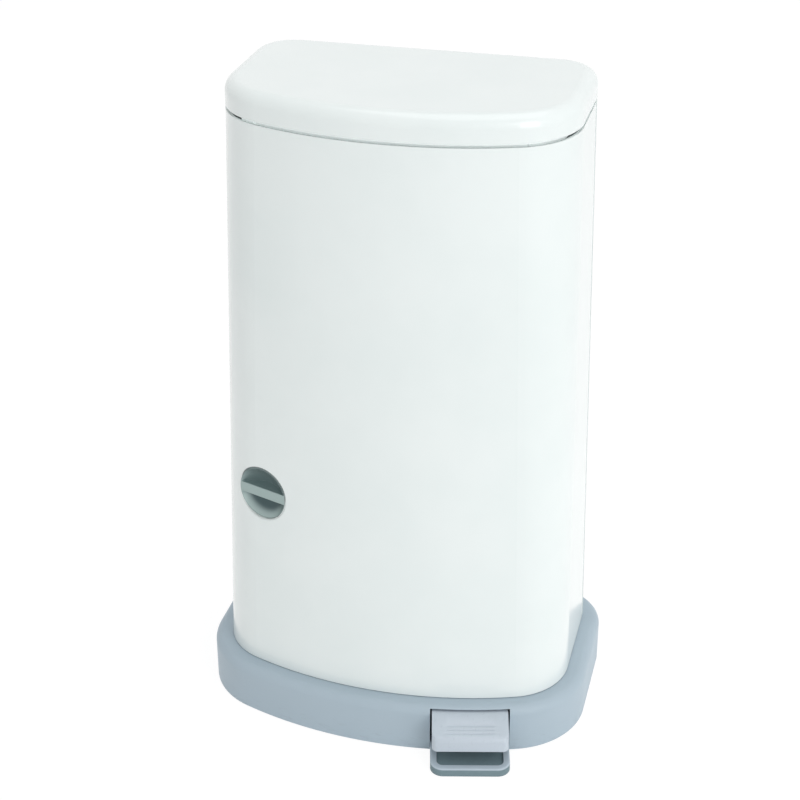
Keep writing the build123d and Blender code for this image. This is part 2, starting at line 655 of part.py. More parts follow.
# ---------------------------------------------------------------- body
def rear_cut(front_y):
    """Everything behind a plane across the body."""
    return block(-BOTTOM_DEPTH, BOTTOM_DEPTH, front_y, front_y + BOTTOM_DEPTH, 0, TOTAL_HEIGHT)


def closing_lip():
    """The strip on the back shell's free edge that the door closes over."""
    top = SHELL_TOP - BACK_TOP_DROP - LEDGE_THICK
    gap = WALL + FACE_GAP
    core = body_solid(SKIRT_TOP, top, gap + LIP_THICK)
    strip = body_solid(SKIRT_TOP, top, gap) - core
    strip &= block(-BOTTOM_DEPTH, 0, SPLIT_Y - LIP_REACH, SPLIT_Y + LIP_ROOT, SKIRT_TOP, top)
    root = body_solid(SKIRT_TOP, top, WALL / 2) - core
    return strip + (root & block(-BOTTOM_DEPTH, 0, SPLIT_Y, SPLIT_Y + LIP_ROOT, SKIRT_TOP, top))


def back_shell():
    """The flat back with both rear corners, a foot flange and a ledge for the deck."""
    top = SHELL_TOP - BACK_TOP_DROP
    behind = rear_cut(SPLIT_Y)
    shell = body_solid(SKIRT_TOP, top) - body_solid(SKIRT_TOP, top, WALL)
    flange = body_solid(SKIRT_TOP, SKIRT_TOP + WALL, 1)
    flange -= body_solid(SKIRT_TOP, SKIRT_TOP + WALL, FLANGE_WIDTH)
    shell += flange
    ledge_front = BACK_Y - LEDGE_DEPTH
    ledge = body_solid(top - LEDGE_THICK, top, 1) & rear_cut(ledge_front)
    shell = (shell & behind) + ledge + closing_lip()
    for x, y in DECK_SCREW_PLACES:
        shell += upright(x, y, top - LEDGE_THICK, DECK_UNDERSIDE, SCREW_HEAD_R + 3)
        shell -= upright(x, y, top - LEDGE_THICK, DECK_UNDERSIDE, SCREW_R + RUN)
    for x, y in SHELL_SCREW_PLACES:
        shell -= upright(x, y, SKIRT_TOP, SKIRT_TOP + WALL, SCREW_R + RUN)
    slot = COLLAR_R + 2
    shell -= block(ROD_X - slot, ROD_X + slot, ledge_front - 1, BACK_Y - WALL, top - LEDGE_THICK, top + 5)
    cover = COVER_HALF_WIDTH + FACE_GAP
    shell -= block(ROD_X - cover, ROD_X + cover, 0, BACK_Y - WALL, SKIRT_TOP, SKIRT_TOP + WALL)
    return shell


def shell_screws():
    screws = Part()
    seat = SKIRT_TOP + WALL
    for x, y in SHELL_SCREW_PLACES:
        screws += upright(x, y, seat, seat + SCREW_HEAD_THICK, SCREW_HEAD_R)
        screws += upright(x, y, FLOOR_UNDERSIDE - SHELL_SCREW_GRIP, seat, SCREW_R)
    return screws


def door_reach(radius, z0, z1):
    """The space round the door's hinge that its far edge never enters."""
    return upright(HINGE_HIGH.X, HINGE_Y, z0, z1, radius)


def top_deck():
    """The deck under the lid, with the chute as a collar that hangs from it."""
    plan = body_outline(SHELL_TOP, DECK_INSET)
    deck = Pos(0, 0, DECK_UNDERSIDE) * extrude(plan, DECK_THICK)
    rim_low = DECK_UNDERSIDE - DECK_RIM_DEPTH
    rim = extrude(body_outline(SHELL_TOP, DECK_RIM_INSET), DECK_RIM_DEPTH)
    rim -= extrude(body_outline(SHELL_TOP, DECK_RIM_INSET + CHUTE_WALL), DECK_RIM_DEPTH)
    rim = Pos(0, 0, rim_low) * rim
    rim &= door_reach(2 * TOP_HALF_WIDTH - HINGE_INSET - WALL - DOOR_SWEEP_CLEAR, rim_low, DECK_UNDERSIDE)
    rim -= rear_cut(BACK_Y - LEDGE_DEPTH - 2)
    for post in posts(POST_WALL):
        rim -= post
    deck += rim
    deck -= rear_cut(DECK_REAR_Y)
    deck += stadium(CHUTE_WALL, CHUTE_BOTTOM, DECK_TOP)
    deck -= stadium(0, CHUTE_BOTTOM, DECK_TOP)
    slot_left, slot_right = ROD_X - CRANK_SLOT_HALF, ROD_X + CRANK_SLOT_HALF
    deck -= block(slot_left, slot_right, ROD_Y - CAP_R - CRANK_SLOT_FRONT, BACK_Y, rim_low, DECK_TOP)
    deck += upright(HINGE_HIGH.X, HINGE_Y, DECK_UNDERSIDE, DECK_TOP, HINGE_INSET - 0.5)
    deck -= hinge_stub(SHELL_TOP, DECK_TOP + 1, DOOR_PIN_R + SEAT)
    for x, y in DECK_SCREW_PLACES:
        deck -= upright(x, y, DECK_UNDERSIDE, DECK_TOP, SCREW_R + RUN)
    return deck


def deck_screws():
    screws = Part()
    for x, y in DECK_SCREW_PLACES:
        screws += upright(x, y, DECK_UNDERSIDE - DECK_SCREW_GRIP, DECK_TOP, SCREW_R)
        screws += upright(x, y, DECK_TOP, DECK_TOP + SCREW_HEAD_THICK, SCREW_HEAD_R)
    return screws


def posts(grow=0.0):
    """The left and right posts, solid, grown all round."""
    half_x = POST_WIDTH / 2 + grow
    half_y = POST_DEPTH / 2 + grow
    low, high = SKIRT_TOP - KNOB_Z, DECK_UNDERSIDE - KNOB_Z
    post = block(-half_x, half_x, -half_y, half_y, low, high)
    left = KNOB_PLACE * Pos(-POST_SIDE, POST_IN, 0) * post
    return [left, mirror(left, Plane.YZ)]


def deck_posts():
    pair = Part()
    for post, core in zip(posts(), posts(-POST_WALL)):
        pair += post - core
    return pair


# ---------------------------------------------------------------- door
def hinge_stub(z0, z1, radius):
    """A round bar on the door's leaning hinge axis, between two heights."""
    lean = (HINGE_HIGH - HINGE_LOW) * (1 / BODY_HEIGHT)
    low = HINGE_LOW + lean * (z0 - SKIRT_TOP)
    axis = Plane(origin=low, z_dir=lean)
    return extrude(axis * Circle(radius), (z1 - z0) * lean.length)


def door_section(z):
    """The door's plan: the shell in front of the split, with a rolled edge round the hinge."""
    ring = body_outline(z) - body_outline(z, WALL)
    reach = BOTTOM_DEPTH
    right = Pos(reach, HINGE_Y - reach) * Rectangle(2 * reach, 2 * reach)
    left = Pos(-reach, SPLIT_Y - DOOR_EDGE_GAP - reach) * Rectangle(2 * reach, 2 * reach)
    roll = Pos(half_width(z) - HINGE_INSET, HINGE_Y) * Circle(HINGE_INSET)
    return Pos(0, 0, z) * ((ring & (right + left)) + roll)


def door_shell():
    """The bowed front and both sides in one leaf, with the knob's round hole."""
    door = loft([door_section(SKIRT_TOP + DOOR_BOTTOM_GAP), door_section(SHELL_TOP)], ruled=True)
    door -= along_knob(-CUP_R, CUP_R, CUP_R + CUP_HOLE_GAP)
    bore = DOOR_PIN_R + RUN
    door -= hinge_stub(SKIRT_TOP - 1, SKIRT_TOP + DOOR_PIN_DEPTH + 1, bore)
    door -= hinge_stub(SHELL_TOP - DOOR_PIN_DEPTH - 1, SHELL_TOP + 1, bore)
    return door


def door_pins():
    lower = hinge_stub(FLOOR_UNDERSIDE - 5, SKIRT_TOP + DOOR_PIN_DEPTH, DOOR_PIN_R)
    upper = hinge_stub(SHELL_TOP - DOOR_PIN_DEPTH, DECK_TOP - 0.2, DOOR_PIN_R)
    return lower + upper


def turned(points):
    """A (radius, depth) profile turned round the knob's axis."""
    face = make_face(Polyline(*points, close=True))
    return revolve(face, Axis.Y)


def knob_cup():
    """The round finger cup, its rim cut to the bowed surface, with a flange inside the door."""
    floor_out = CUP_DEPTH + CUP_WALL
    boss = CUP_DEPTH + CUP_BOSS_DEPTH
    bore = SHAFT_R + RUN
    inner_low = CUP_FLOOR_R - CUP_WALL
    section = [
        (CUP_R, -CUP_R), (CUP_R, CUP_BEND_DEPTH + 2 * CUP_WALL), (CUP_FLOOR_R + 1, floor_out),
        (CUP_BOSS_R, floor_out), (CUP_BOSS_R, boss), (bore, boss), (bore, CUP_DEPTH),
        (inner_low, CUP_DEPTH), (CUP_R - CUP_WALL, CUP_BEND_DEPTH), (CUP_R - CUP_WALL, -CUP_R),
    ]
    low, high = KNOB_Z - 2 * CUP_FLANGE_R, KNOB_Z + 2 * CUP_FLANGE_R
    cup = (KNOB_PLACE * turned(section)) & body_solid(low, high)
    seat = WALL + FACE_GAP
    skin = body_solid(low, high, seat) - body_solid(low, high, seat + CUP_FLANGE_THICK)
    skin &= along_knob(-CUP_R, CUP_R, CUP_FLANGE_R) - along_knob(-CUP_R, CUP_R, CUP_R - CUP_WALL)
    return cup + skin


def grip_profile(front, rear):
    """The bar's section: a flat front, and flanks that sweep out to its root."""
    length = rear - front
    radius = (length ** 2 + GRIP_FLARE ** 2) / (2 * GRIP_FLARE)
    half_turn = math.asin(length / radius) / 2
    mid = (front + radius * math.sin(half_turn), GRIP_HALF + radius * (1 - math.cos(half_turn)))
    root = GRIP_HALF + GRIP_FLARE
    edges = [
        Line((0, front, -GRIP_HALF), (0, front, GRIP_HALF)),
        ThreePointArc((0, front, GRIP_HALF), (0, *mid), (0, rear, root)),
        Line((0, rear, root), (0, rear, -root)),
        ThreePointArc((0, rear, -root), (0, mid[0], -mid[1]), (0, front, -GRIP_HALF)),
    ]
    return make_face(edges)


def latch_knob():
    """A dished dial that fills the cup, with a grip bar across the dish."""
    inner_low = CUP_FLOOR_R - CUP_WALL - KNOB_GAP
    rim = CUP_R - CUP_WALL - KNOB_GAP
    foot = CUP_DEPTH - FACE_GAP
    space = [(0, GRIP_SINK), (rim, GRIP_SINK), (rim, CUP_BEND_DEPTH), (inner_low, foot), (0, foot)]
    body = turned(space)
    sag = DISH_DEPTH - GRIP_SINK
    ball = ((rim - DISH_LIP) ** 2 + sag ** 2) / (2 * sag)
    dish = body - Pos(0, DISH_DEPTH - ball, 0) * Sphere(ball)
    bar = Pos(-CUP_R, 0, 0) * extrude(grip_profile(GRIP_SINK, foot), 2 * CUP_R, dir=(1, 0, 0))
    bar = body & bar
    bar = fillet(bar.faces().sort_by(Axis.Y)[0].edges().filter_by(Axis.X), GRIP_EDGE_R)
    return KNOB_PLACE * (dish + bar)


def along_knob(y0, y1, radius):
    return KNOB_PLACE * Pos(0, (y0 + y1) / 2, 0) * Rot(90, 0, 0) * Cylinder(radius, y1 - y0)


def latch_shaft():
    return along_knob(CUP_DEPTH - FACE_GAP, CAM_BACK, SHAFT_R)


def latch_cam():
    """A tongue that points to the right when open, and up behind the keeper when locked."""
    arm = block(0, CAM_LENGTH - CAM_WIDTH / 2, CAM_FRONT, CAM_BACK, -CAM_WIDTH / 2, CAM_WIDTH / 2)
    tip = Pos(CAM_LENGTH - CAM_WIDTH / 2, (CAM_FRONT + CAM_BACK) / 2, 0) * Rot(90, 0, 0)
    arm += tip * Cylinder(CAM_WIDTH / 2, CAM_THICK)
    cam = KNOB_PLACE * arm + along_knob(CAM_FRONT, CAM_BACK, CAM_HUB_R)
    return cam - along_knob(CAM_FRONT - 1, CAM_BACK + 1, SHAFT_R + SEAT)


def latch_screw():
    return along_knob(CAM_BACK, CAM_BACK + SCREW_HEAD_THICK, CAM_HUB_R - 1)


def latch_keeper():
    """The plate on the left post that holds the cam back."""
    left = -POST_SIDE - POST_WIDTH / 2
    plate = block(left, KEEPER_REACH, KEEPER_FRONT, KEEPER_FRONT + KEEPER_THICK, KEEPER_LOW, KEEPER_HIGH)
    return KNOB_PLACE * fillet(plate.edges().filter_by(Axis.Y).group_by(Axis.X)[-1], KEEPER_CORNER_R)


# ---------------------------------------------------------------- lid
def lid_cover():
    plan = body_outline(SHELL_TOP)
    outer = Pos(0, 0, LID_BOTTOM) * extrude(plan, TOTAL_HEIGHT - LID_BOTTOM)
    outer = fillet(outer.faces().sort_by(Axis.Z)[-1].edges(), LID_EDGE_R)
    inner_plan = body_outline(SHELL_TOP, LID_WALL)
    inner = Pos(0, 0, LID_BOTTOM) * extrude(inner_plan, TOTAL_HEIGHT - LID_WALL - LID_BOTTOM)
    inner = fillet(inner.faces().sort_by(Axis.Z)[-1].edges(), LID_EDGE_R - LID_WALL)
    return outer - inner


def lid_knuckles():
    """Places along X of the lid's four knuckles."""
    step = HINGE_EAR_WIDTH / 2 + LID_KNUCKLE_GAP
    places = []
    for side in (-1, 1):
        places.append(side * HINGE_X - step - LID_KNUCKLE_WIDTH)
        places.append(side * HINGE_X + step)
    return places


def lid_inner_panel():
    """The panel that closes the lid below, with the knuckles and the seal's seat."""
    gap = LID_WALL + PANEL_GAP
    panel = Pos(0, 0, PANEL_Z) * extrude(body_outline(SHELL_TOP, gap), PANEL_THICK)
    panel -= rear_cut(LID_PIN_Y - PANEL_REAR_GAP)
    for x in lid_knuckles():
        root = LID_PIN_Y - KNUCKLE_ROOT
        panel += block(x, x + LID_KNUCKLE_WIDTH, root, LID_PIN_Y, PANEL_Z, PANEL_Z + PANEL_THICK)
        panel += crossbar(x, x + LID_KNUCKLE_WIDTH, LID_PIN_Y, LID_PIN_Z, LID_KNUCKLE_R)
    panel -= crossbar(-TOP_HALF_WIDTH, TOP_HALF_WIDTH, LID_PIN_Y, LID_PIN_Z, LID_PIN_R + RUN)
    seal_top = DECK_TOP + FACE_GAP + SEAL_HEIGHT
    panel += stadium_ring(SEAL_OUT, SEAL_OUT + SEAL_WIDTH, seal_top, PANEL_Z)
    for side in (-1, 0, 1):
        x = side * (TOP_HALF_WIDTH - PANEL_POST_INSET)
        for y in (CHUTE_Y - PANEL_POST_SPREAD, CHUTE_Y + PANEL_POST_SPREAD):
            panel += upright(x, y, PANEL_Z + PANEL_THICK, TOTAL_HEIGHT - LID_WALL, PANEL_POST_R)
    return panel


def lid_seal():
    low = DECK_TOP + FACE_GAP
    return stadium_ring(SEAL_OUT, SEAL_OUT + SEAL_WIDTH, low, low + SEAL_HEIGHT)


def lid_lever():
    """The lid's crank: a hub on the pin, a bar under the panel and a finger down to the rod's cap."""
    x0, x1 = ROD_X - CRANK_WIDTH / 2, ROD_X + CRANK_WIDTH / 2
    tip_y, tip_z = LID_PIN_Y - CRANK_OUT, LID_PIN_Z - CRANK_DROP
    crank = block(x0, x1, tip_y - CRANK_FINGER_HALF, tip_y + CRANK_FINGER_HALF, tip_z, PANEL_Z - 1)
    crank += crossbar(x0, x1, tip_y, tip_z, CRANK_TIP_R)
    crank += crossbar(x0, x1, LID_PIN_Y, LID_PIN_Z, LID_KNUCKLE_R)
    crank += block(x0, x1, LID_PIN_Y - LEVER_FOOT, LID_PIN_Y, PANEL_Z - CRANK_BAR, PANEL_Z)
    return crank - crossbar(x0 - 1, x1 + 1, LID_PIN_Y, LID_PIN_Z, LID_PIN_R + RUN)


def lid_hinge_brackets():
    """Two ears on the deck's rear edge."""
    pair = Part()
    for side in (-1, 1):
        x = side * HINGE_X
        half = HINGE_EAR_WIDTH / 2
        low, high, front = x - HINGE_FOOT_HALF, x + HINGE_FOOT_HALF, DECK_REAR_Y - HINGE_FOOT_DEPTH
        foot = block(low, high, front, DECK_REAR_Y, DECK_TOP, DECK_TOP + HINGE_FOOT_THICK)
        outline = [(front, DECK_TOP), (DECK_REAR_Y, DECK_TOP)]
        outline += [(LID_PIN_Y, LID_PIN_Z - LID_KNUCKLE_R), (LID_PIN_Y, LID_PIN_Z)]
        outline += [(LID_PIN_Y - LID_KNUCKLE_R, LID_PIN_Z), (DECK_REAR_Y - 2, DECK_TOP + 4)]
        ear = side_profile(outline, x - half, x + half)
        ear += crossbar(x - half, x + half, LID_PIN_Y, LID_PIN_Z, LID_KNUCKLE_R)
        pair += foot + ear
    return pair - crossbar(-TOP_HALF_WIDTH, TOP_HALF_WIDTH, LID_PIN_Y, LID_PIN_Z, LID_PIN_R + SEAT)


def lid_pin():
    reach = HINGE_X + HINGE_EAR_WIDTH / 2 + LID_KNUCKLE_WIDTH + LID_PIN_END
    return crossbar(-reach, reach, LID_PIN_Y, LID_PIN_Z, LID_PIN_R)


# ---------------------------------------------------------------- trap
def trap_flap():
    """The flap under the chute, with two knuckles and the crank behind its pin."""
    top = CHUTE_BOTTOM - FACE_GAP - TRAP_SEAL
    flap = stadium(TRAP_LAP, top - TRAP_PLATE, top)
    for side in (-1, 1):
        x0 = side * TRAP_HINGE_X - TRAP_KNUCKLE_WIDTH / 2
        x1 = x0 + TRAP_KNUCKLE_WIDTH
        flap += block(x0, x1, CHUTE_Y, TRAP_PIN_Y, top - TRAP_PLATE, top)
        flap += crossbar(x0, x1, TRAP_PIN_Y, TRAP_PIN_Z, TRAP_KNUCKLE_R)
    x0 = ROD_X + ROD_R + TRAP_CRANK_GAP
    x1 = x0 + TRAP_CRANK_WIDTH
    tip_y, tip_z = TRAP_PIN_Y + CRANK_OUT, TRAP_PIN_Z - CRANK_DROP
    half = CRANK_FINGER_HALF
    flap += crossbar(x0, x1, TRAP_PIN_Y, TRAP_PIN_Z, TRAP_KNUCKLE_R)
    flap += block(x0, x1, TRAP_PIN_Y, tip_y + half, TRAP_PIN_Z - half, TRAP_PIN_Z + half)
    flap += block(x0, x1, tip_y - half, tip_y + half, tip_z, TRAP_PIN_Z)
    flap += crossbar(x0, x1, tip_y, tip_z, CRANK_TIP_R)
    return flap - crossbar(-TOP_HALF_WIDTH, TOP_HALF_WIDTH, TRAP_PIN_Y, TRAP_PIN_Z, TRAP_PIN_R + RUN)


def trap_seal():
    top = CHUTE_BOTTOM - FACE_GAP
    inner = (CHUTE_WALL - TRAP_SEAL_WIDTH) / 2
    return stadium_ring(inner, inner + TRAP_SEAL_WIDTH, top - TRAP_SEAL, top)


def trap_ear_x():
    return TRAP_HINGE_X + TRAP_KNUCKLE_WIDTH / 2 + TRAP_EAR_GAP


def trap_pin():
    reach = trap_ear_x() + TRAP_EAR_THICK
    return crossbar(-reach, reach, TRAP_PIN_Y, TRAP_PIN_Z, TRAP_PIN_R)


def trap_brackets():
    pair = Part()
    for side in (-1, 1):
        near = side * trap_ear_x()
        far = near + side * TRAP_EAR_THICK
        low, high = min(near, far), max(near, far)
        front, rear = TRAP_PIN_Y - TRAP_EAR_R, TRAP_PIN_Y + TRAP_EAR_R
        ear = block(low, high, front, rear, TRAP_PIN_Z, DECK_UNDERSIDE)
        ear += crossbar(low, high, TRAP_PIN_Y, TRAP_PIN_Z, TRAP_EAR_R)
        pair += ear
    return pair - crossbar(-TOP_HALF_WIDTH, TOP_HALF_WIDTH, TRAP_PIN_Y, TRAP_PIN_Z, TRAP_PIN_R + SEAT)


def trap_spring():
    """The closing spring's coil on the pin, beside the left knuckle, with its leg on the chute."""
    x1 = -TRAP_HINGE_X + TRAP_KNUCKLE_WIDTH / 2 + FACE_GAP + SPRING_LENGTH
    x0 = x1 - SPRING_LENGTH
    coil = crossbar(x0, x1, TRAP_PIN_Y, TRAP_PIN_Z, SPRING_R)
    coil -= crossbar(x0, x1, TRAP_PIN_Y, TRAP_PIN_Z, TRAP_PIN_R + RUN)
    leg = upright(x1 - SPRING_WIRE / 2, SPRING_WIRE / 2 - SPRING_R, 0, SPRING_LEG, SPRING_WIRE / 2)
    return coil + Pos(0, TRAP_PIN_Y, TRAP_PIN_Z) * Rot(SPRING_LEG_TILT, 0, 0) * leg


# ---------------------------------------------------------------- liner
def liner_cartridge():
    """The tray ring that the folded tubular liner lies in."""
    low = CARTRIDGE_TOP - CARTRIDGE_HEIGHT
    high = CARTRIDGE_TOP - CARTRIDGE_WALL
    outer = CARTRIDGE_CLEAR + CARTRIDGE_WIDTH
    tray = square_ring(CARTRIDGE_CLEAR, outer, low, high)
    tray -= square_ring(CARTRIDGE_CLEAR - 1, outer - CARTRIDGE_WALL, low + CARTRIDGE_FLOOR, high)
    return tray


def cartridge_cover():
    """The flat ring on the tray, over whose inner edge the film runs out."""
    outer = CARTRIDGE_CLEAR + CARTRIDGE_WIDTH
    return square_ring(CARTRIDGE_CLEAR, outer, CARTRIDGE_TOP - CARTRIDGE_WALL, CARTRIDGE_TOP)


def cartridge_cradle():
    """A shelf ring on two hangers from the deck."""
    low = CARTRIDGE_TOP - CARTRIDGE_HEIGHT
    outer = CARTRIDGE_CLEAR + CARTRIDGE_WIDTH + FACE_GAP
    cradle = square_ring(CARTRIDGE_CLEAR, outer + CRADLE_THICK, CRADLE_LOW, low)
    cradle += square_ring(outer, outer + CRADLE_THICK, low, low + CRADLE_LIP)
    x = CHUTE_LENGTH / 2 + outer
    half = HANGER_WIDTH / 2
    for side in (-1, 1):
        edges = sorted((side * x, side * (x + HANGER_THICK)))
        cradle += block(edges[0], edges[1], CHUTE_Y - half, CHUTE_Y + half, CRADLE_LOW, DECK_UNDERSIDE)
    return cradle


def cutter_block(x0, x1, y0, y1, z0, z1):
    """A box in the frame of the right post's rear face."""
    place = KNOB_PLACE * Pos(-POST_SIDE, POST_IN + POST_DEPTH / 2, CUTTER_Z - KNOB_Z)
    return mirror(place * block(x0, x1, y0, y1, z0, z1), Plane.YZ)


def liner_cutter():
    """A slotted block behind the right post, where the used liner is drawn past a blade."""
    half = CUTTER_HEIGHT / 2
    body = cutter_block(-POST_WIDTH / 2, CUTTER_LENGTH, 0, CUTTER_DEPTH, -half, half)
    slot = CUTTER_SLOT / 2
    body -= cutter_block(POST_WIDTH / 2, CUTTER_LENGTH + 1, -1, CUTTER_DEPTH + 1, -slot, slot)
    return body - cutter_blade()


def cutter_blade():
    half = CUTTER_HEIGHT / 2 - BLADE_INSET
    front, rear = BLADE_INSET, BLADE_INSET + BLADE_THICK
    return cutter_block(POST_WIDTH, POST_WIDTH + BLADE_LENGTH, front, rear, -half, half)


NODES = {
    "base_skirt": base_skirt,
    "base_plate": base_plate,
    "rubber_feet": rubber_feet,
    "base_screws": base_screws,
    "pedal_pin": pedal_pin,
    "pedal_pad": pedal_pad,
    "pedal_lever": pedal_lever,
    "lift_rod": lift_rod,
    "rod_cap": rod_cap,
    "rod_collar": rod_collar,
    "rod_guides": rod_guides,
    "rod_cover": rod_cover,
    "back_shell": back_shell,
    "shell_screws": shell_screws,
    "top_deck": top_deck,
    "deck_screws": deck_screws,
    "deck_posts": deck_posts,
    "door_shell": door_shell,
    "door_pins": door_pins,
    "knob_cup": knob_cup,
    "latch_knob": latch_knob,
    "latch_shaft": latch_shaft,
    "latch_cam": latch_cam,
    "latch_screw": latch_screw,
    "latch_keeper": latch_keeper,
    "lid_cover": lid_cover,
    "lid_inner_panel": lid_inner_panel,
    "lid_seal": lid_seal,
    "lid_lever": lid_lever,
    "lid_hinge_brackets": lid_hinge_brackets,
    "lid_pin": lid_pin,
    "trap_flap": trap_flap,
    "trap_seal": trap_seal,
    "trap_pin": trap_pin,
    "trap_spring": trap_spring,
    "trap_brackets": trap_brackets,
    "liner_cartridge": liner_cartridge,
    "cartridge_cover": cartridge_cover,
    "cartridge_cradle": cartridge_cradle,
    "liner_cutter": liner_cutter,
    "cutter_blade": cutter_blade,
}


def main():
    os.makedirs("parts", exist_ok=True)
    for name, make in NODES.items():
        export_step(make(), "parts/" + name + ".step")


if __name__ == "__main__":
    main()
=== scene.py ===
import json
import math

import bmesh
import bpy
from bmesh.types import BMEdge, BMFace, BMVert
from mathutils import Matrix, Vector


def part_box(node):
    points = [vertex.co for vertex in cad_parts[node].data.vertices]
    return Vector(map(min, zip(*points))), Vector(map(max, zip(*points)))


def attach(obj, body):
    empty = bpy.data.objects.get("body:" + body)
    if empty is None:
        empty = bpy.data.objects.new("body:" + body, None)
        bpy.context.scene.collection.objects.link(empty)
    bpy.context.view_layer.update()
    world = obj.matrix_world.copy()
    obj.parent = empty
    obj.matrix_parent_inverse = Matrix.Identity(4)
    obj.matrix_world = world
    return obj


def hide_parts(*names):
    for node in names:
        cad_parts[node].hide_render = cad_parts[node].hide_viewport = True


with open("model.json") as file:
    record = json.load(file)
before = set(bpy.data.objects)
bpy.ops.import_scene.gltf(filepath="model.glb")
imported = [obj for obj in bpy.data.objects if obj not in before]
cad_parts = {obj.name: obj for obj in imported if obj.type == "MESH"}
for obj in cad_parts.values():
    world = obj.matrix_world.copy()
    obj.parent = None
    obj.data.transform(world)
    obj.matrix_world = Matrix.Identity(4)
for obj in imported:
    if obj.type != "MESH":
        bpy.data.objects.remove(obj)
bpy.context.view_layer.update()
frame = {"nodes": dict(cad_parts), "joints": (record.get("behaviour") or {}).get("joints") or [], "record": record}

# A pedal-operated nappy bin. Metres, +X to its right, -Y to its bowed front, +Z up.

MM = 0.001

# ---------------------------------------------------------------- camera
CAMERA_AZIMUTH = math.radians(14.1)
CAMERA_ELEVATION = math.radians(28.19)
CAMERA_DISTANCE = 1883.73 * MM
CAMERA_TARGET = Vector((0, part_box("back_shell")[1][1] - 97.0 * MM, 350 * MM))
CAMERA_LENS = 78.0
CAMERA_SHIFT = (-0.0116, -0.0051)


def aim(thing, target):
    """Turns a camera or lamp so that its -Z points at the target."""
    thing.rotation_euler = (target - thing.location).to_track_quat("-Z", "Y").to_euler()


def place_camera():
    """The camera stands on a sphere round its target, to the front and a little to the right."""
    camera = bpy.data.objects.new("camera", bpy.data.cameras.new("camera"))
    bpy.context.scene.collection.objects.link(camera)
    level = math.cos(CAMERA_ELEVATION)
    back = Vector((
        math.sin(CAMERA_AZIMUTH) * level,
        -math.cos(CAMERA_AZIMUTH) * level,
        math.sin(CAMERA_ELEVATION),
    ))
    camera.location = CAMERA_TARGET + back * CAMERA_DISTANCE
    aim(camera, CAMERA_TARGET)
    camera.data.lens = CAMERA_LENS
    camera.data.shift_x, camera.data.shift_y = CAMERA_SHIFT
    bpy.context.scene.camera = camera


# ---------------------------------------------------------------- shader writing
EDGE_ROUND = 0.4 * MM


class Wire:
    """A shader socket that takes part in Python arithmetic."""

    def __init__(self, finish, socket):
        self.finish = finish
        self.socket = socket

    def maths(self, operation, *terms):
        """A Math node on wires and numbers."""
        return self.finish.node("ShaderNodeMath", {"operation": operation}, *terms)

    def __add__(self, other):
        return self.maths("ADD", self, other)

    __radd__ = __add__

    def __sub__(self, other):
        return self.maths("SUBTRACT", self, other)

    def __rsub__(self, other):
        return self.maths("SUBTRACT", other, self)

    def __mul__(self, other):
        return self.maths("MULTIPLY", self, other)

    __rmul__ = __mul__

    def larger(self, other):
        """The larger of two values."""
        return self.maths("MAXIMUM", self, other)

    def unsigned(self):
        """The value without its sign."""
        return self.maths("ABSOLUTE", self)

    def ramp(self, low, high):
        """0 below low, 1 above high, smooth between them."""
        settings = {"interpolation_type": "SMOOTHSTEP"}
        return self.finish.node("ShaderNodeMapRange", settings, self, low, high, 0.0, 1.0)


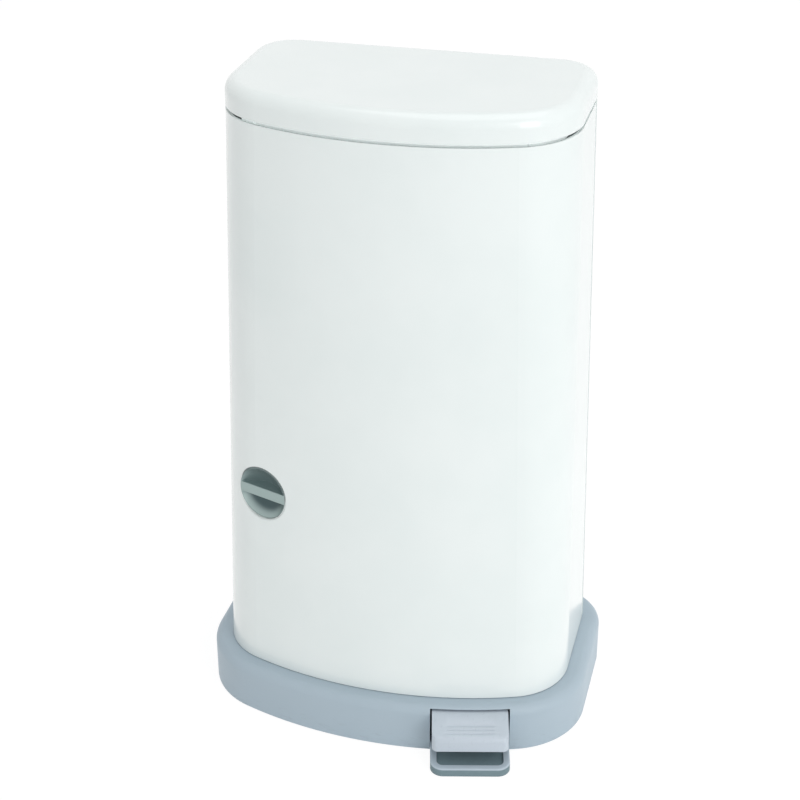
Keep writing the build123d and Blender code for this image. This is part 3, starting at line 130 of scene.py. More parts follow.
class Finish:
    """One procedural material: a Principled shader and the nodes that feed it."""

    def __init__(self, name, **constants):
        self.material = bpy.data.materials.new(name)
        self.material.use_nodes = True
        self.tree = self.material.node_tree
        self.shader = self.tree.nodes["Principled BSDF"]
        for socket, value in constants.items():
            self.shader.inputs[socket.replace("_", " ")].default_value = value

    def node(self, kind, settings=None, *inputs, output=0, **named):
        """Adds a node, sets it up, and returns the wire from one of its outputs."""
        made = self.tree.nodes.new(kind)
        for key, value in (settings or {}).items():
            setattr(made, key, value)
        values = dict(enumerate(inputs))
        values.update((socket.replace("_", " "), value) for socket, value in named.items())
        for key, value in values.items():
            if isinstance(value, Wire):
                self.tree.links.new(value.socket, made.inputs[key])
            elif value is not None:
                made.inputs[key].default_value = value
        return Wire(self, made.outputs[output])

    def feed(self, socket, wire):
        """Leads a wire into a socket of the shader."""
        self.tree.links.new(wire.socket, self.shader.inputs[socket])

    def vectors(self, operation, *terms, output=0):
        """A Vector Math node."""
        return self.node("ShaderNodeVectorMath", {"operation": operation}, *terms, output=output)

    def place(self):
        """The place on the object, as a vector in metres."""
        return self.node("ShaderNodeTexCoord", output="Object")

    def axis(self, letter):
        """One coordinate of the place, in metres."""
        return self.node("ShaderNodeSeparateXYZ", None, self.place(), output=letter)

    def along(self, start, direction):
        """How far the place lies from a start point along a direction, in metres."""
        away = self.vectors("SUBTRACT", self.place(), start)
        return self.vectors("DOT_PRODUCT", away, direction, output="Value")

    def noise(self, size, detail=2.0, stretch=(1, 1, 1)):
        """Noise from 0 to 1 whose blobs are about size metres across."""
        spread = tuple(factor / size for factor in stretch)
        spot = self.node("ShaderNodeMapping", None, self.place(), Scale=spread)
        return self.node("ShaderNodeTexNoise", None, Vector=spot, Scale=1.0, Detail=detail)

    def blend(self, share, first, second):
        """A colour between two, by a wire from 0 to 1."""
        made = self.node("ShaderNodeMix", {"data_type": "RGBA"}, output=2)
        mix = made.socket.node
        # The Mix node's sockets 6 and 7 are its two colours; those between are for other kinds of data.
        for index, value in ((0, share), (6, first), (7, second)):
            if isinstance(value, Wire):
                self.tree.links.new(value.socket, mix.inputs[index])
            else:
                mix.inputs[index].default_value = (*value, 1.0)
        return made

    def mottle(self, size, first, second, detail=2.0):
        """A colour that wanders between two, in blobs about size metres across."""
        return self.blend(self.noise(size, detail), first, second)

    def grain(self, size, depth, detail=2.0, stretch=(1, 1, 1)):
        """A fine relief of noise with the given size and depth in metres, and softly rounded edges."""
        rounded = self.node("ShaderNodeBevel", {"samples": 4}, Radius=EDGE_ROUND)
        height = self.noise(size, detail, stretch)
        normal = self.node(
            "ShaderNodeBump", None, Strength=1.0, Distance=depth, Height=height, Normal=rounded
        )
        self.feed("Normal", normal)


def srgb(red, green, blue):
    """A linear colour from one written with values from 0 to 255."""
    shares = [value / 255 for value in (red, green, blue)]
    return tuple(
        share / 12.92 if share <= 0.04045 else ((share + 0.055) / 1.055) ** 2.4
        for share in shares
    )


def joint(name):
    """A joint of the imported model, by its name."""
    return next(found for found in frame["joints"] if found["name"] == name)


# ---------------------------------------------------------------- finishes
def gloss_white():
    """Sprayed white enamel with a faint orange peel."""
    paint = Finish("gloss_white_enamel", Coat_Weight=0.8, Coat_Roughness=0.1)
    mottle = paint.noise(110 * MM, 3.0).ramp(0.3, 0.7)
    paint.feed("Base Color", paint.blend(mottle, srgb(233, 241, 240), srgb(237, 244, 243)))
    smears = paint.noise(45 * MM, 4.0, (1, 1, 0.35))
    paint.feed("Roughness", 0.3 + smears * 0.1)
    paint.grain(2.8 * MM, 0.008 * MM, 1.0)
    return paint.material


def lay_satin_white(plastic):
    """Gives a finish the colour, sheen and grain of moulded white plastic, duller than the enamel."""
    plastic.feed("Base Color", plastic.mottle(60 * MM, srgb(226, 231, 229), srgb(233, 237, 235), 3.0))
    plastic.feed("Roughness", 0.42 + plastic.noise(20 * MM) * 0.1)
    plastic.grain(0.8 * MM, 0.01 * MM)


def satin_white():
    """The plastic of the white inner pieces."""
    plastic = Finish("satin_white_plastic")
    lay_satin_white(plastic)
    return plastic.material


# The painted glow begins outside an oval with these half lengths, seen from above.
RIM_REACH = (130 * MM, 75 * MM)
RIM_PAINTED_GLOW = (0.36, 0.39, 0.39)


def deck_white():
    """Satin white for deck and posts; their outer sides by the seam carry a painted glow, standing in for light
    through the shell.
    """
    plastic = Finish("deck_white_plastic", Emission_Strength=1.0)
    low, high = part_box("top_deck")
    centre = ((low[0] + high[0]) / 2, (low[1] + high[1]) / 2, 0)
    oval = plastic.vectors("DIVIDE", plastic.vectors("SUBTRACT", plastic.place(), centre), (*RIM_REACH, 1))
    outside = plastic.vectors("LENGTH", oval, output="Value").ramp(0.85, 1.0)
    facing = plastic.node("ShaderNodeNewGeometry", output="True Normal")
    upward = plastic.node("ShaderNodeSeparateXYZ", None, facing, output="Z").unsigned()
    sideways = 1 - upward.ramp(0.2, 0.6)
    near_seam = plastic.axis("Z").ramp(high[2] - 30 * MM, high[2] - 15 * MM)
    # Painted light: an emitted glow on the outer sides near the seam, though the deck is no lamp.
    rim = outside * sideways * near_seam
    plastic.feed("Emission Color", plastic.blend(rim, (0, 0, 0), RIM_PAINTED_GLOW))
    lay_satin_white(plastic)
    return plastic.material


def base_grey():
    """Blue-grey moulded plastic, scuffed darker where mops and shoes reach."""
    plastic = Finish("base_grey_plastic")
    clean = plastic.mottle(80 * MM, srgb(170, 187, 198), srgb(177, 193, 204), 3.0)
    low = 1 - plastic.axis("Z").ramp(3 * MM, 30 * MM)
    scuffs = plastic.noise(12 * MM, 5.0, (1, 1, 3)).ramp(0.55, 0.75) * low
    plastic.feed("Base Color", plastic.blend(scuffs * 0.35, clean, srgb(150, 160, 172)))
    plastic.feed("Roughness", 0.4 + plastic.noise(30 * MM, 3.0) * 0.12)
    plastic.grain(0.6 * MM, 0.012 * MM)
    return plastic.material


def pedal_grey():
    """The same plastic with the fine shoe wear of a pedal."""
    plastic = Finish("pedal_grey_plastic")
    clean = plastic.mottle(50 * MM, srgb(193, 204, 214), srgb(199, 209, 219), 3.0)
    wear = plastic.noise(6 * MM, 5.0, (2.5, 1, 1)).ramp(0.58, 0.72)
    plastic.feed("Base Color", plastic.blend(wear * 0.3, clean, srgb(172, 182, 194)))
    plastic.feed("Roughness", 0.36 + wear * 0.14)
    plastic.grain(0.6 * MM, 0.012 * MM)
    return plastic.material


# The height of the floor in the foot tongue's recess.
TONGUE_FLOOR = 8.6 * MM


def tongue_grey():
    """The base's plastic; the roughened floor in the foot tongue's recess is darkened with painted shade."""
    plastic = Finish("tongue_grey_plastic")
    above = plastic.axis("Z").ramp(TONGUE_FLOOR + 0.1 * MM, TONGUE_FLOOR + 1.2 * MM)
    clean = plastic.mottle(50 * MM, srgb(178, 193, 204), srgb(186, 200, 210), 3.0)
    # Painted shade: the recess floor under the pedal is darkened, where the pad shades it.
    floor = plastic.mottle(4 * MM, srgb(110, 131, 138), srgb(121, 143, 150), 4.0)
    plastic.feed("Base Color", plastic.blend(above, floor, clean))
    plastic.feed("Roughness", 0.6 - above * 0.18)
    plastic.grain(0.6 * MM, 0.02 * MM)
    return plastic.material


def inner_grey():
    """The grey plastic of the pieces inside the body."""
    plastic = Finish("inner_grey_plastic")
    plastic.feed("Base Color", plastic.mottle(40 * MM, srgb(166, 173, 180), srgb(174, 181, 187)))
    plastic.feed("Roughness", 0.45 + plastic.noise(10 * MM) * 0.12)
    plastic.grain(0.7 * MM, 0.015 * MM)
    return plastic.material


def knob_metal():
    """Satin metallic lacquer, lightened by painted highlights on the grip and the dish's lower lip, and darkened
    by painted shade deep in the dish under the grip.
    """
    turn = joint("knob_turn")
    lacquer = Finish("knob_grey_lacquer", Metallic=0.75)
    depth = lacquer.along(turn["pos_m"], [-part for part in turn["axis"]])
    height = lacquer.along(turn["pos_m"], (0, 0, 1))
    lower = 1 - height.ramp(-12 * MM, -5 * MM)
    # Painted highlight: the dish's shallow lower lip and the grip's front are lightened where light falls on them.
    lip = (1 - depth.ramp(1.5 * MM, 8 * MM)) * lower
    middle = 1 - height.unsigned().ramp(6 * MM, 9 * MM)
    grip = (1 - depth.ramp(1.6 * MM, 3.2 * MM)) * middle
    bright = lip.larger(grip)
    # Painted shade: the dish darkens with depth below the grip, where the grip shades it.
    bowl_painted_shade = depth.ramp(3 * MM, 9 * MM) * (1 - height.ramp(-7 * MM, 0))
    plain = lacquer.mottle(14 * MM, srgb(132, 148, 149), srgb(144, 160, 160), 3.0)
    colour_with_painted_shade = lacquer.blend(bowl_painted_shade, plain, srgb(74, 91, 93))
    lacquer.feed("Base Color", lacquer.blend(bright, colour_with_painted_shade, srgb(157, 174, 172)))
    lacquer.feed("Roughness", 0.3 + lacquer.noise(8 * MM, 3.0) * 0.1)
    lacquer.grain(0.4 * MM, 0.006 * MM, 1.0)
    return lacquer.material


def cup_lacquer():
    """The cup's white lacquer, darkened to grey round its top half by painted shade."""
    lacquer = Finish("cup_lacquer_painted_shade", Coat_Weight=0.4)
    # Painted shade: the cup darkens towards its top, which faces away from the light.
    upper_painted_shade = lacquer.along(joint("knob_turn")["pos_m"], (0, 0, 1)).ramp(-10 * MM, 14 * MM)
    lacquer.feed("Base Color", lacquer.blend(upper_painted_shade, srgb(226, 234, 233), srgb(122, 138, 138)))
    lacquer.feed("Roughness", 0.32 + lacquer.noise(8 * MM, 3.0) * 0.1)
    lacquer.grain(0.4 * MM, 0.006 * MM, 1.0)
    return lacquer.material


def rubber():
    """Black rubber with a dusty sheen."""
    soft = Finish("black_rubber")
    soft.feed("Base Color", soft.mottle(6 * MM, srgb(44, 47, 50), srgb(60, 63, 66), 4.0))
    soft.feed("Roughness", 0.7 + soft.noise(3 * MM) * 0.15)
    soft.grain(0.5 * MM, 0.03 * MM, 3.0)
    return soft.material


def steel():
    """Turned bright steel with fine streaks."""
    metal = Finish("bright_steel", Metallic=1.0)
    streaks = metal.noise(4 * MM, 3.0, (0.2, 1, 6))
    metal.feed("Base Color", metal.blend(streaks, srgb(176, 178, 182), srgb(204, 206, 209)))
    metal.feed("Roughness", 0.24 + streaks * 0.14)
    metal.grain(1.0 * MM, 0.006 * MM, 2.0, (0.2, 1, 8))
    return metal.material


def zinc():
    """Zinc plating with its soft spangle."""
    metal = Finish("zinc_plating", Metallic=0.9)
    spangle = metal.node("ShaderNodeTexVoronoi", None, Vector=metal.place(), Scale=260.0)
    metal.feed("Base Color", metal.blend(spangle, srgb(182, 187, 190), srgb(196, 200, 203)))
    metal.feed("Roughness", 0.34 + spangle * 0.18)
    metal.grain(1.5 * MM, 0.01 * MM, 3.0)
    return metal.material


def cartridge_plastic():
    """The pale blue plastic of the liner's refill."""
    plastic = Finish("pale_blue_plastic")
    plastic.feed("Base Color", plastic.mottle(50 * MM, srgb(214, 226, 236), srgb(222, 232, 240)))
    plastic.feed("Roughness", 0.38 + plastic.noise(12 * MM) * 0.1)
    plastic.grain(0.9 * MM, 0.012 * MM)
    return plastic.material


def make_finishes():
    """One finish for each material slot of the record."""
    return {
        "white_shell": gloss_white(),
        "white_inner": satin_white(),
        "base_grey": base_grey(),
        "pedal_grey": pedal_grey(),
        "inner_grey": inner_grey(),
        "cup_grey": cup_lacquer(),
        "knob_grey": knob_metal(),
        "rubber": rubber(),
        "steel": steel(),
        "plated_steel": zinc(),
        "cartridge_plastic": cartridge_plastic(),
    }


def dress_nodes(finishes):
    """Every node takes the finish of its slot, but three have a finish of their own."""
    for part in frame["record"]["subparts"]:
        node = frame["nodes"][part["node"]]
        node.data.materials.clear()
        node.data.materials.append(finishes[part["material_slot"]])
    frame["nodes"]["base_plate"].data.materials[0] = tongue_grey()
    # The deck and posts take the finish with a painted glow by the seam.
    painted_glow_finish = deck_white()
    for name in ("top_deck", "deck_posts"):
        frame["nodes"][name].data.materials[0] = painted_glow_finish


# ---------------------------------------------------------------- piece making
SAME_PLACE = 0.001 * MM
SMOOTH_UP_TO = math.radians(35)


def add_piece(shape, name, body, slot, *nodes):
    """Turns a finished bmesh into a piece that rides on a body and stands for CAD nodes."""
    bmesh.ops.remove_doubles(shape, verts=shape.verts, dist=SAME_PLACE)
    bmesh.ops.recalc_face_normals(shape, faces=shape.faces)
    mesh = bpy.data.meshes.new(name)
    shape.to_mesh(mesh)
    shape.free()
    mesh.polygons.foreach_set("use_smooth", [True] * len(mesh.polygons))
    mesh.set_sharp_from_angle(angle=SMOOTH_UP_TO)
    mesh.materials.append(finishes[slot])
    piece = bpy.data.objects.new(name, mesh)
    bpy.context.scene.collection.objects.link(piece)
    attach(piece, body)
    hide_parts(*nodes)


def only(parts, kind):
    """The parts of one kind: vertices, edges or faces."""
    return [part for part in parts if isinstance(part, kind)]


def islands(node):
    """The lowest and highest corners of each separate solid in a CAD node."""
    shape = bmesh.new()
    shape.from_mesh(frame["nodes"][node].data)
    bmesh.ops.remove_doubles(shape, verts=shape.verts, dist=5 * SAME_PLACE)
    boxes = []
    waiting = set(shape.verts)
    while waiting:
        front = [waiting.pop()]
        found = list(front)
        while front:
            near = {edge.other_vert(vert) for vert in front for edge in vert.link_edges} & waiting
            waiting -= near
            front = list(near)
            found += front
        sides = [[vert.co[axis] for vert in found] for axis in range(3)]
        boxes.append((Vector(min(side) for side in sides), Vector(max(side) for side in sides)))
    shape.free()
    return sorted(boxes, key=lambda box: tuple(box[0]))


def profile(shape, points):
    """An open chain of edges through (radius, height) points, in the XZ plane."""
    verts = [shape.verts.new((radius, 0, height)) for radius, height in points]
    return verts + [shape.edges.new(pair) for pair in zip(verts, verts[1:])]


def turn(points, steps):
    """A closed body of revolution about Z."""
    shape = bmesh.new()
    bmesh.ops.spin(shape, geom=profile(shape, points), cent=(0, 0, 0), axis=(0, 0, 1),
                   angle=math.tau, steps=steps, use_merge=True)
    bmesh.ops.remove_doubles(shape, verts=shape.verts, dist=SAME_PLACE)
    return shape


def join(target, source, matrix):
    """Adds a copy of one bmesh, moved by a matrix, to another."""
    mesh = bpy.data.meshes.new("copied")
    source.to_mesh(mesh)
    mesh.transform(matrix)
    target.from_mesh(mesh)
    bpy.data.meshes.remove(mesh)


# ---------------------------------------------------------------- screws and feet
SCREW_HEAD_RADIUS = 4.0 * MM
SCREW_HEAD_HEIGHT = 2.2 * MM
SCREW_CROWN = 0.55 * SCREW_HEAD_HEIGHT
SCREW_SOCKET_RADIUS = 0.46 * SCREW_HEAD_RADIUS
SCREW_SOCKET_DEPTH = 0.7 * SCREW_HEAD_HEIGHT
SCREW_SHANK_RADIUS = 1.5 * MM
SCREW_ROOT_RADIUS = SCREW_SHANK_RADIUS * 0.86
SCREW_POINT_RADIUS = SCREW_SHANK_RADIUS * 0.6
SCREW_PITCH = 1.25 * MM
UPSIDE_DOWN = Matrix.Rotation(math.pi, 4, "X")


def screw_head():
    """A pan head with a hexagon socket, its bearing face at z = 0 and its crown on top."""
    shape = bmesh.new()
    rim = bmesh.ops.create_circle(shape, segments=24, radius=SCREW_HEAD_RADIUS, cap_ends=True)["verts"]
    raised = bmesh.ops.extrude_face_region(shape, geom=list(rim[0].link_faces))["geom"]
    crown = only(raised, BMVert)
    bmesh.ops.translate(shape, verts=crown, vec=(0, 0, SCREW_HEAD_HEIGHT))
    edges = [edge for edge in shape.edges if all(vert in crown for vert in edge.verts)]
    bmesh.ops.bevel(shape, geom=edges, offset=SCREW_CROWN, offset_type="OFFSET", segments=4,
                    profile=0.5, affect="EDGES", material=-1)
    top = max(shape.faces, key=lambda face: face.calc_center_median().z)
    loop = list(top.edges)
    bmesh.ops.delete(shape, geom=[top], context="FACES_ONLY")
    made = bmesh.ops.create_circle(shape, segments=6, radius=SCREW_SOCKET_RADIUS, cap_ends=False)
    socket = made["verts"]
    bmesh.ops.translate(shape, verts=socket, vec=(0, 0, SCREW_HEAD_HEIGHT))
    hexagon = [edge for edge in shape.edges if all(vert in socket for vert in edge.verts)]
    bmesh.ops.bridge_loops(shape, edges=loop + hexagon)
    well = bmesh.ops.extrude_edge_only(shape, edges=hexagon)["geom"]
    bmesh.ops.translate(shape, verts=only(well, BMVert), vec=(0, 0, -SCREW_SOCKET_DEPTH))
    bmesh.ops.contextual_create(shape, geom=only(well, BMEdge))
    return shape


def threaded_shank(length):
    """A shank with ridges a pitch apart and a blunt point, running up from z = 0."""
    points = [(0, 0), (SCREW_ROOT_RADIUS, 0)]
    height = SCREW_PITCH
    while height + SCREW_PITCH < length:
        points.append((SCREW_ROOT_RADIUS, height))
        points.append((SCREW_SHANK_RADIUS, height + SCREW_PITCH * 0.4))
        points.append((SCREW_ROOT_RADIUS, height + SCREW_PITCH * 0.8))
        height += SCREW_PITCH
    points.append((SCREW_ROOT_RADIUS, length - SCREW_PITCH * 0.5))
    points += [(SCREW_POINT_RADIUS, length), (0, length)]
    return turn(points, 20)


def fit_screws(node, head_high):
    """Socket-headed screws in place of a node's plain ones, with their heads above or below."""
    batch = bmesh.new()
    for low, high in islands(node):
        centre = (low + high) / 2
        if head_high:
            bearing = Matrix.Translation((centre.x, centre.y, high.z - SCREW_HEAD_HEIGHT))
        else:
            bearing = Matrix.Translation((centre.x, centre.y, low.z + SCREW_HEAD_HEIGHT)) @ UPSIDE_DOWN
        head = screw_head()
        shank = threaded_shank(high.z - low.z - SCREW_HEAD_HEIGHT)
        join(batch, head, bearing)
        join(batch, shank, bearing @ UPSIDE_DOWN)
        head.free()
        shank.free()
    add_piece(batch, node + "_threaded", "frame_and_base", "steel", node)


FOOT_RADIUS = 11.0 * MM
FOOT_THICK = 1.0 * MM
FOOT_EDGE = 0.4 * MM
FOOT_STEM_RADIUS = 3.0 * MM
FOOT_GROOVES = (3.2 * MM, 5.6 * MM, 8.0 * MM)
FOOT_GROOVE_HALF_WIDTH = 0.6 * MM
FOOT_GROOVE_DEPTH = 0.4 * MM


def fit_feet():
    """Rubber feet with three ring grooves in each sole and a stem up into the plate."""
    boxes = islands("rubber_feet")
    stem_top = boxes[0][1].z
    outline = [(0, 0)]
    for groove in FOOT_GROOVES:
        outline.append((groove - FOOT_GROOVE_HALF_WIDTH, 0))
        outline.append((groove - FOOT_GROOVE_HALF_WIDTH / 2, FOOT_GROOVE_DEPTH))
        outline.append((groove + FOOT_GROOVE_HALF_WIDTH / 2, FOOT_GROOVE_DEPTH))
        outline.append((groove + FOOT_GROOVE_HALF_WIDTH, 0))
    outline += [(FOOT_RADIUS - FOOT_EDGE, 0), (FOOT_RADIUS, FOOT_EDGE), (FOOT_RADIUS, FOOT_THICK)]
    outline += [(FOOT_STEM_RADIUS, FOOT_THICK), (FOOT_STEM_RADIUS, stem_top - FOOT_EDGE)]
    outline += [(FOOT_STEM_RADIUS - FOOT_EDGE, stem_top), (0, stem_top)]
    foot = turn(outline, 48)
    batch = bmesh.new()
    for low, high in boxes:
        join(batch, foot, Matrix.Translation(((low.x + high.x) / 2, (low.y + high.y) / 2, 0)))
    foot.free()
    add_piece(batch, "ringed_feet", "frame_and_base", "rubber", "rubber_feet")


# ---------------------------------------------------------------- seals and spring
# A bulb seal's section in shares of its width and height, bulb down, from one edge to the other.
SEAL_SECTION = ((0, 1), (0, 0.72), (0.1, 0.6), (0.1, 0.3), (0.26, 0.06), (0.5, 0),
                (0.74, 0.06), (0.9, 0.3), (0.9, 0.6), (1, 0.72), (1, 1))


def fit_seal(node, body, width):
    """A bulb seal run round a round-ended plan, its flat back uppermost."""
    low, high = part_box(node)
    outer = (high[1] - low[1]) / 2
    middle = (high[1] + low[1]) / 2
    straight = (high[0] - low[0]) / 2 - outer
    shape = bmesh.new()
    section = [
        shape.verts.new((straight, middle - outer + across * width, low[2] + up * (high[2] - low[2])))
        for across, up in SEAL_SECTION
    ]
    edges = [shape.edges.new(pair) for pair in zip(section, section[1:] + section[:1])]
    run = section + edges
    for side in (1, -1):
        bend = bmesh.ops.spin(shape, geom=run, cent=(side * straight, middle, 0), axis=(0, 0, 1),
                              angle=math.pi, steps=28)["geom_last"]
        drawn = bmesh.ops.extrude_edge_only(shape, edges=only(bend, BMEdge))["geom"]
        run = only(drawn, (BMVert, BMEdge))
        bmesh.ops.translate(shape, verts=only(run, BMVert), vec=(-side * 2 * straight, 0, 0))
    add_piece(shape, node + "_bulb", body, "rubber", node)


SPRING_WIRE = 1.0 * MM
SPRING_RADIUS = 3.4 * MM
SPRING_LEG = 13.0 * MM
SPRING_LEG_TILT = math.radians(29.5)
SPRING_TURNS = 6
SPRING_STEPS = SPRING_TURNS * 32


def fit_trap_spring():
    """The closing spring wound round the flap's pin, with one straight leg."""
    low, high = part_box("trap_spring")
    pin = joint("trap_hinge")["pos_m"]
    radial = Vector((0, -math.cos(SPRING_LEG_TILT), -math.sin(SPRING_LEG_TILT)))
    ahead = Vector((0, -math.sin(SPRING_LEG_TILT), math.cos(SPRING_LEG_TILT)))
    place = Matrix((Vector((1, 0, 0)), radial, ahead)).transposed().to_4x4()
    place.translation = Vector((low[0] + SPRING_WIRE / 2, pin[1], pin[2]))
    place.translation += radial * (SPRING_RADIUS - SPRING_WIRE / 2)
    shape = bmesh.new()
    ring = bmesh.ops.create_circle(shape, segments=12, radius=SPRING_WIRE / 2, cap_ends=True, matrix=place)
    start = ring["verts"] + list({edge for vert in ring["verts"] for edge in vert.link_edges})
    start += list(ring["verts"][0].link_faces)
    rise = (high[0] - low[0] - SPRING_WIRE) / SPRING_STEPS
    wound = bmesh.ops.spin(shape, geom=start, cent=(low[0], pin[1], pin[2]), axis=(-1, 0, 0),
                           dvec=(rise, 0, 0), angle=math.tau * SPRING_TURNS, steps=SPRING_STEPS)
    last = only(wound["geom_last"], BMFace)
    leg = bmesh.ops.extrude_face_region(shape, geom=last)["geom"]
    bmesh.ops.translate(shape, verts=only(leg, BMVert), vec=ahead * SPRING_LEG)
    bmesh.ops.delete(shape, geom=last, context="FACES_ONLY")
    add_piece(shape, "trap_spring_coil", "frame_and_base", "steel", "trap_spring")


# ---------------------------------------------------------------- pedal
PAD_HALF_WIDTH = 41.3 * MM
PAD_BACK = -36.0 * MM
PAD_FRONT = -81.0 * MM
PAD_CREST = (-48.0 * MM, 19.2 * MM)
PAD_BACK_TOP = 17.4 * MM
PAD_LIP_TOP = 8.4 * MM
PAD_LIP_FOOT = -7.4 * MM
PAD_LIP_ROUND = 5.0 * MM
PAD_CORNER = 7.0 * MM
PAD_WALL = 3.0 * MM
PAD_CORNER_STEPS = 9
PAD_SLOPE = (PAD_CREST[1] - PAD_LIP_TOP) / (PAD_CREST[0] - PAD_FRONT)
GROOVE_PLACES = tuple(PAD_FRONT + (8.0 + 4.5 * row) * MM for row in range(3))
GROOVE_HALF_WIDTH = 0.9 * MM
GROOVE_DEPTH = 0.7 * MM
GROOVE_END = 26.0 * MM
GROOVE_RUN_OUT = 0.8 * MM
NEARLY = 0.1 * MM


def pedal_axes():
    """From the pedal's own axes, X along its pin and Y inwards, to the object's."""
    pin = joint("pedal_hinge")
    along = Vector(pin["axis"])
    inward = Vector((0, 0, 1)).cross(along)
    axes = Matrix((along, inward, Vector((0, 0, 1)))).transposed().to_4x4()
    return Matrix.Translation(pin["pos_m"]) @ axes


def cut(shape, faces, place, normal):
    """Splits faces along a plane and keeps both sides."""
    parts = set(faces)
    for face in faces:
        parts.update(face.edges, face.verts)
    bmesh.ops.bisect_plane(shape, geom=list(parts), plane_co=place, plane_no=normal, dist=SAME_PLACE / 10)


def pad_skin():
    """The pad's outer skin, rounded over its lip, open behind and below."""
    lip = [(PAD_FRONT, PAD_LIP_TOP), (PAD_FRONT, PAD_LIP_FOOT)]
    side = [(PAD_BACK, 0), (PAD_BACK, PAD_BACK_TOP), PAD_CREST, *lip]
    shape = bmesh.new()
    verts = [shape.verts.new((-PAD_HALF_WIDTH, y, z)) for y, z in side]
    face = shape.faces.new(verts)
    far = bmesh.ops.extrude_face_region(shape, geom=[face])["geom"]
    bmesh.ops.translate(shape, verts=only(far, BMVert), vec=(2 * PAD_HALF_WIDTH, 0, 0))
    bmesh.ops.recalc_face_normals(shape, faces=shape.faces)
    open_sides = [face for face in shape.faces if face.normal.y > 0.9 or face.normal.z < -0.1]
    bmesh.ops.delete(shape, geom=open_sides, context="FACES_ONLY")
    lip_top = [
        vert for vert in shape.verts
        if abs(vert.co.y - PAD_FRONT) < SAME_PLACE and abs(vert.co.z - PAD_LIP_TOP) < SAME_PLACE
    ]
    crease = [edge for edge in shape.edges if all(vert in lip_top for vert in edge.verts)]
    bmesh.ops.bevel(shape, geom=crease, offset=PAD_LIP_ROUND, offset_type="OFFSET", segments=8,
                    profile=0.5, affect="EDGES", material=-1)
    return shape


def round_pad_corners(shape):
    """Draws the front corners back into quarter circles seen from above."""
    for step in range(1, PAD_CORNER_STEPS):
        turned = step * math.pi / (2 * PAD_CORNER_STEPS)
        reach = PAD_HALF_WIDTH - PAD_CORNER * (1 - math.sin(turned))
        for side in (-1, 1):
            cut(shape, shape.faces[:], (side * reach, 0, 0), (1, 0, 0))
    cut(shape, shape.faces[:], (0, PAD_FRONT + 2 * PAD_CORNER, 0), (0, 1, 0))
    for vert in shape.verts:
        past = (abs(vert.co.x) - PAD_HALF_WIDTH + PAD_CORNER) / PAD_CORNER
        if past <= 0:
            continue
        behind = max(0.0, vert.co.y - PAD_FRONT - PAD_LIP_ROUND)
        ahead = max(0.0, 1 - behind / (2 * PAD_CORNER - PAD_LIP_ROUND))
        drawn = PAD_CORNER * (1 - math.sqrt(max(0.0, 1 - past * past))) * ahead
        share = (vert.co.z - PAD_LIP_FOOT) / (PAD_LIP_TOP - PAD_LIP_FOOT)
        vert.co.y += drawn
        vert.co.z += drawn * PAD_SLOPE * max(0.0, min(1.0, share))


def top_faces(shape):
    """The pad's faces that look up."""
    return [face for face in shape.faces if face.normal.z > 0.8]


def press_grooves(shape):
    """Three shallow round-bottomed grooves across the toe."""
    for place in GROOVE_PLACES:
        for row in (-1, -0.5, 0, 0.5, 1):
            cut(shape, top_faces(shape), (0, place + row * GROOVE_HALF_WIDTH, 0), (0, 1, 0))
    for side in (-1, 1):
        for inset in (0, GROOVE_RUN_OUT):
            cut(shape, top_faces(shape), (side * (GROOVE_END - inset), 0, 0), (1, 0, 0))
    slope_up = Vector((0, -PAD_SLOPE, 1)).normalized()
    between = [
        vert for vert in shape.verts
        if abs(vert.co.x) < GROOVE_END - GROOVE_RUN_OUT + NEARLY and vert.co.z > 0
    ]
    floors = [
        (vert, math.cos((vert.co.y - place) / GROOVE_HALF_WIDTH * math.pi / 2))
        for place in GROOVE_PLACES for vert in between
        if abs(vert.co.y - place) < GROOVE_HALF_WIDTH
    ]
    for vert, share in floors:
        vert.co -= slope_up * GROOVE_DEPTH * share


def fit_pedal_pad():
    """The moulded pad: a skin with rounded corners and grooves, thickened to its wall."""
    shape = pad_skin()
    round_pad_corners(shape)
    shape.normal_update()
    press_grooves(shape)
    bmesh.ops.recalc_face_normals(shape, faces=shape.faces)
    bmesh.ops.solidify(shape, geom=shape.faces[:], thickness=PAD_WALL)
    bmesh.ops.transform(shape, matrix=pedal_axes(), verts=shape.verts)
    add_piece(shape, "pedal_pad_moulded", "pedal", "pedal_grey", "pedal_pad")


# ---------------------------------------------------------------- studio
FLOOR_SIZE = 14.0
SKY_LIGHT = 0.64
FLOOR_GLOW = 0.85
FLOOR_WHITE = 1.07
LAMP_TARGET = Vector((0, 0, 350 * MM))


def seen_rays(tree):
    """1 for the camera, glossy and transmission rays, which see the white studio."""
    rays = tree.nodes.new("ShaderNodeLightPath")
    seen = tree.nodes.new("ShaderNodeMath")
    seen.operation = "MAXIMUM"
    tree.links.new(rays.outputs["Is Camera Ray"], seen.inputs[0])
    tree.links.new(rays.outputs["Is Glossy Ray"], seen.inputs[1])
    also = tree.nodes.new("ShaderNodeMath")
    also.operation = "MAXIMUM"
    tree.links.new(seen.outputs[0], also.inputs[0])
    tree.links.new(rays.outputs["Is Transmission Ray"], also.inputs[1])
    return also.outputs[0]


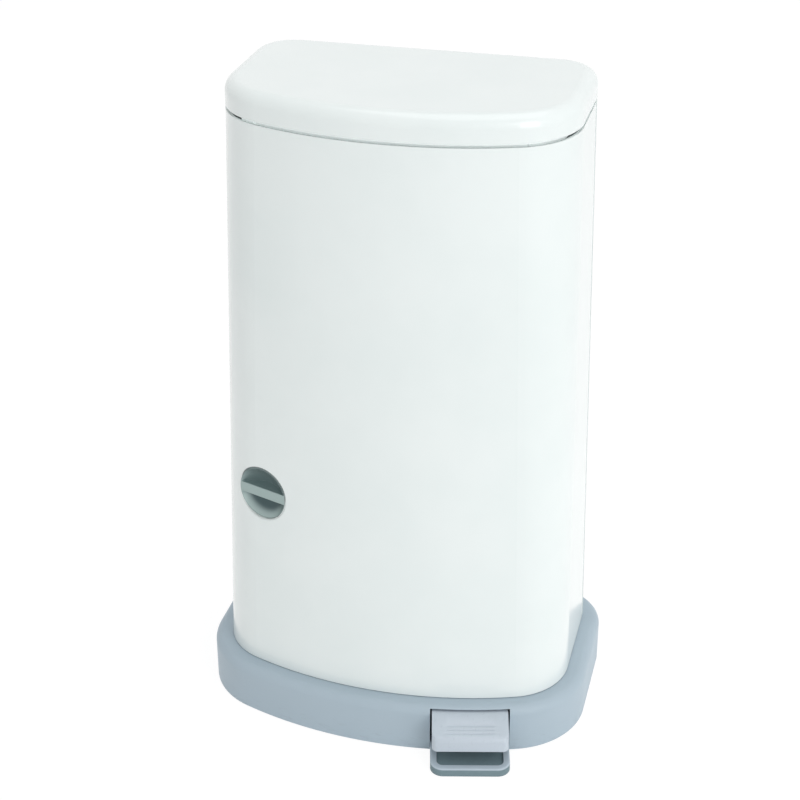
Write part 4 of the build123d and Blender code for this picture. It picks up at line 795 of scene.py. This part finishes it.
def light_world():
    """A plain sky that lights the bin, and shows white to the camera and in reflections."""
    world = bpy.data.worlds.new("studio")
    bpy.context.scene.world = world
    world.use_nodes = True
    tree = world.node_tree
    sky = tree.nodes["Background"]
    sky.inputs["Color"].default_value = (1, 1, 1, 1)
    sky.inputs["Strength"].default_value = SKY_LIGHT
    white = tree.nodes.new("ShaderNodeBackground")
    white.inputs["Color"].default_value = (1, 1, 1, 1)
    white.inputs["Strength"].default_value = 1.0
    pick = tree.nodes.new("ShaderNodeMixShader")
    tree.links.new(seen_rays(tree), pick.inputs["Fac"])
    tree.links.new(sky.outputs[0], pick.inputs[1])
    tree.links.new(white.outputs[0], pick.inputs[2])
    tree.links.new(pick.outputs[0], tree.nodes["World Output"].inputs["Surface"])


def add_lamp(name, location, size, power, mirrored=True):
    """An area lamp aimed at the bin, its power in watts; gloss mirrors it unless told otherwise."""
    lamp = bpy.data.objects.new(name, bpy.data.lights.new(name, "AREA"))
    bpy.context.scene.collection.objects.link(lamp)
    lamp.location = location
    lamp.data.shape = "RECTANGLE"
    lamp.data.size, lamp.data.size_y = size
    lamp.data.energy = power
    lamp.visible_glossy = mirrored
    aim(lamp, LAMP_TARGET)


def lay_floor():
    """A matt floor that takes the bin's shadow and shows nearly white."""
    shape = bmesh.new()
    bmesh.ops.create_grid(shape, x_segments=8, y_segments=8, size=FLOOR_SIZE / 2)
    mesh = bpy.data.meshes.new("floor")
    shape.to_mesh(mesh)
    shape.free()
    floor = bpy.data.objects.new("floor", mesh)
    bpy.context.scene.collection.objects.link(floor)
    material = bpy.data.materials.new("pale_floor")
    material.use_nodes = True
    tree = material.node_tree
    matt = tree.nodes["Principled BSDF"]
    matt.inputs["Base Color"].default_value = (0.94, 0.94, 0.94, 1)
    matt.inputs["Roughness"].default_value = 0.9
    matt.inputs["Specular IOR Level"].default_value = 0.0
    glow = tree.nodes.new("ShaderNodeEmission")
    glow.inputs["Strength"].default_value = FLOOR_WHITE
    pick = tree.nodes.new("ShaderNodeMixShader")
    share = tree.nodes.new("ShaderNodeMath")
    share.operation = "MULTIPLY"
    share.inputs[1].default_value = FLOOR_GLOW
    tree.links.new(seen_rays(tree), share.inputs[0])
    tree.links.new(share.outputs[0], pick.inputs["Fac"])
    tree.links.new(matt.outputs[0], pick.inputs[1])
    tree.links.new(glow.outputs[0], pick.inputs[2])
    tree.links.new(pick.outputs[0], tree.nodes["Material Output"].inputs["Surface"])
    mesh.materials.append(material)


place_camera()
light_world()
add_lamp("key_lamp", Vector((2.3, -2.1, 1.7)), (1.6, 2.2), 33)
add_lamp("top_lamp", Vector((0.3, 0.2, 2.8)), (2.0, 2.0), 12)
add_lamp("rear_low_lamp", Vector((0.65, 0.4, 0.05)), (0.4, 0.1), 0.35, mirrored=False)
add_lamp("front_low_lamp", Vector((0.75, -0.5, 0.04)), (0.4, 0.08), 0.22, mirrored=False)
lay_floor()
finishes = make_finishes()
dress_nodes(finishes)
fit_screws("base_screws", head_high=False)
fit_screws("shell_screws", head_high=True)
fit_screws("deck_screws", head_high=True)
fit_feet()
fit_seal("lid_seal", "lid", 5.0 * MM)
fit_seal("trap_seal", "trap", 4.0 * MM)
fit_trap_spring()
fit_pedal_pad()

bpy.context.scene.view_settings.view_transform = "Standard"
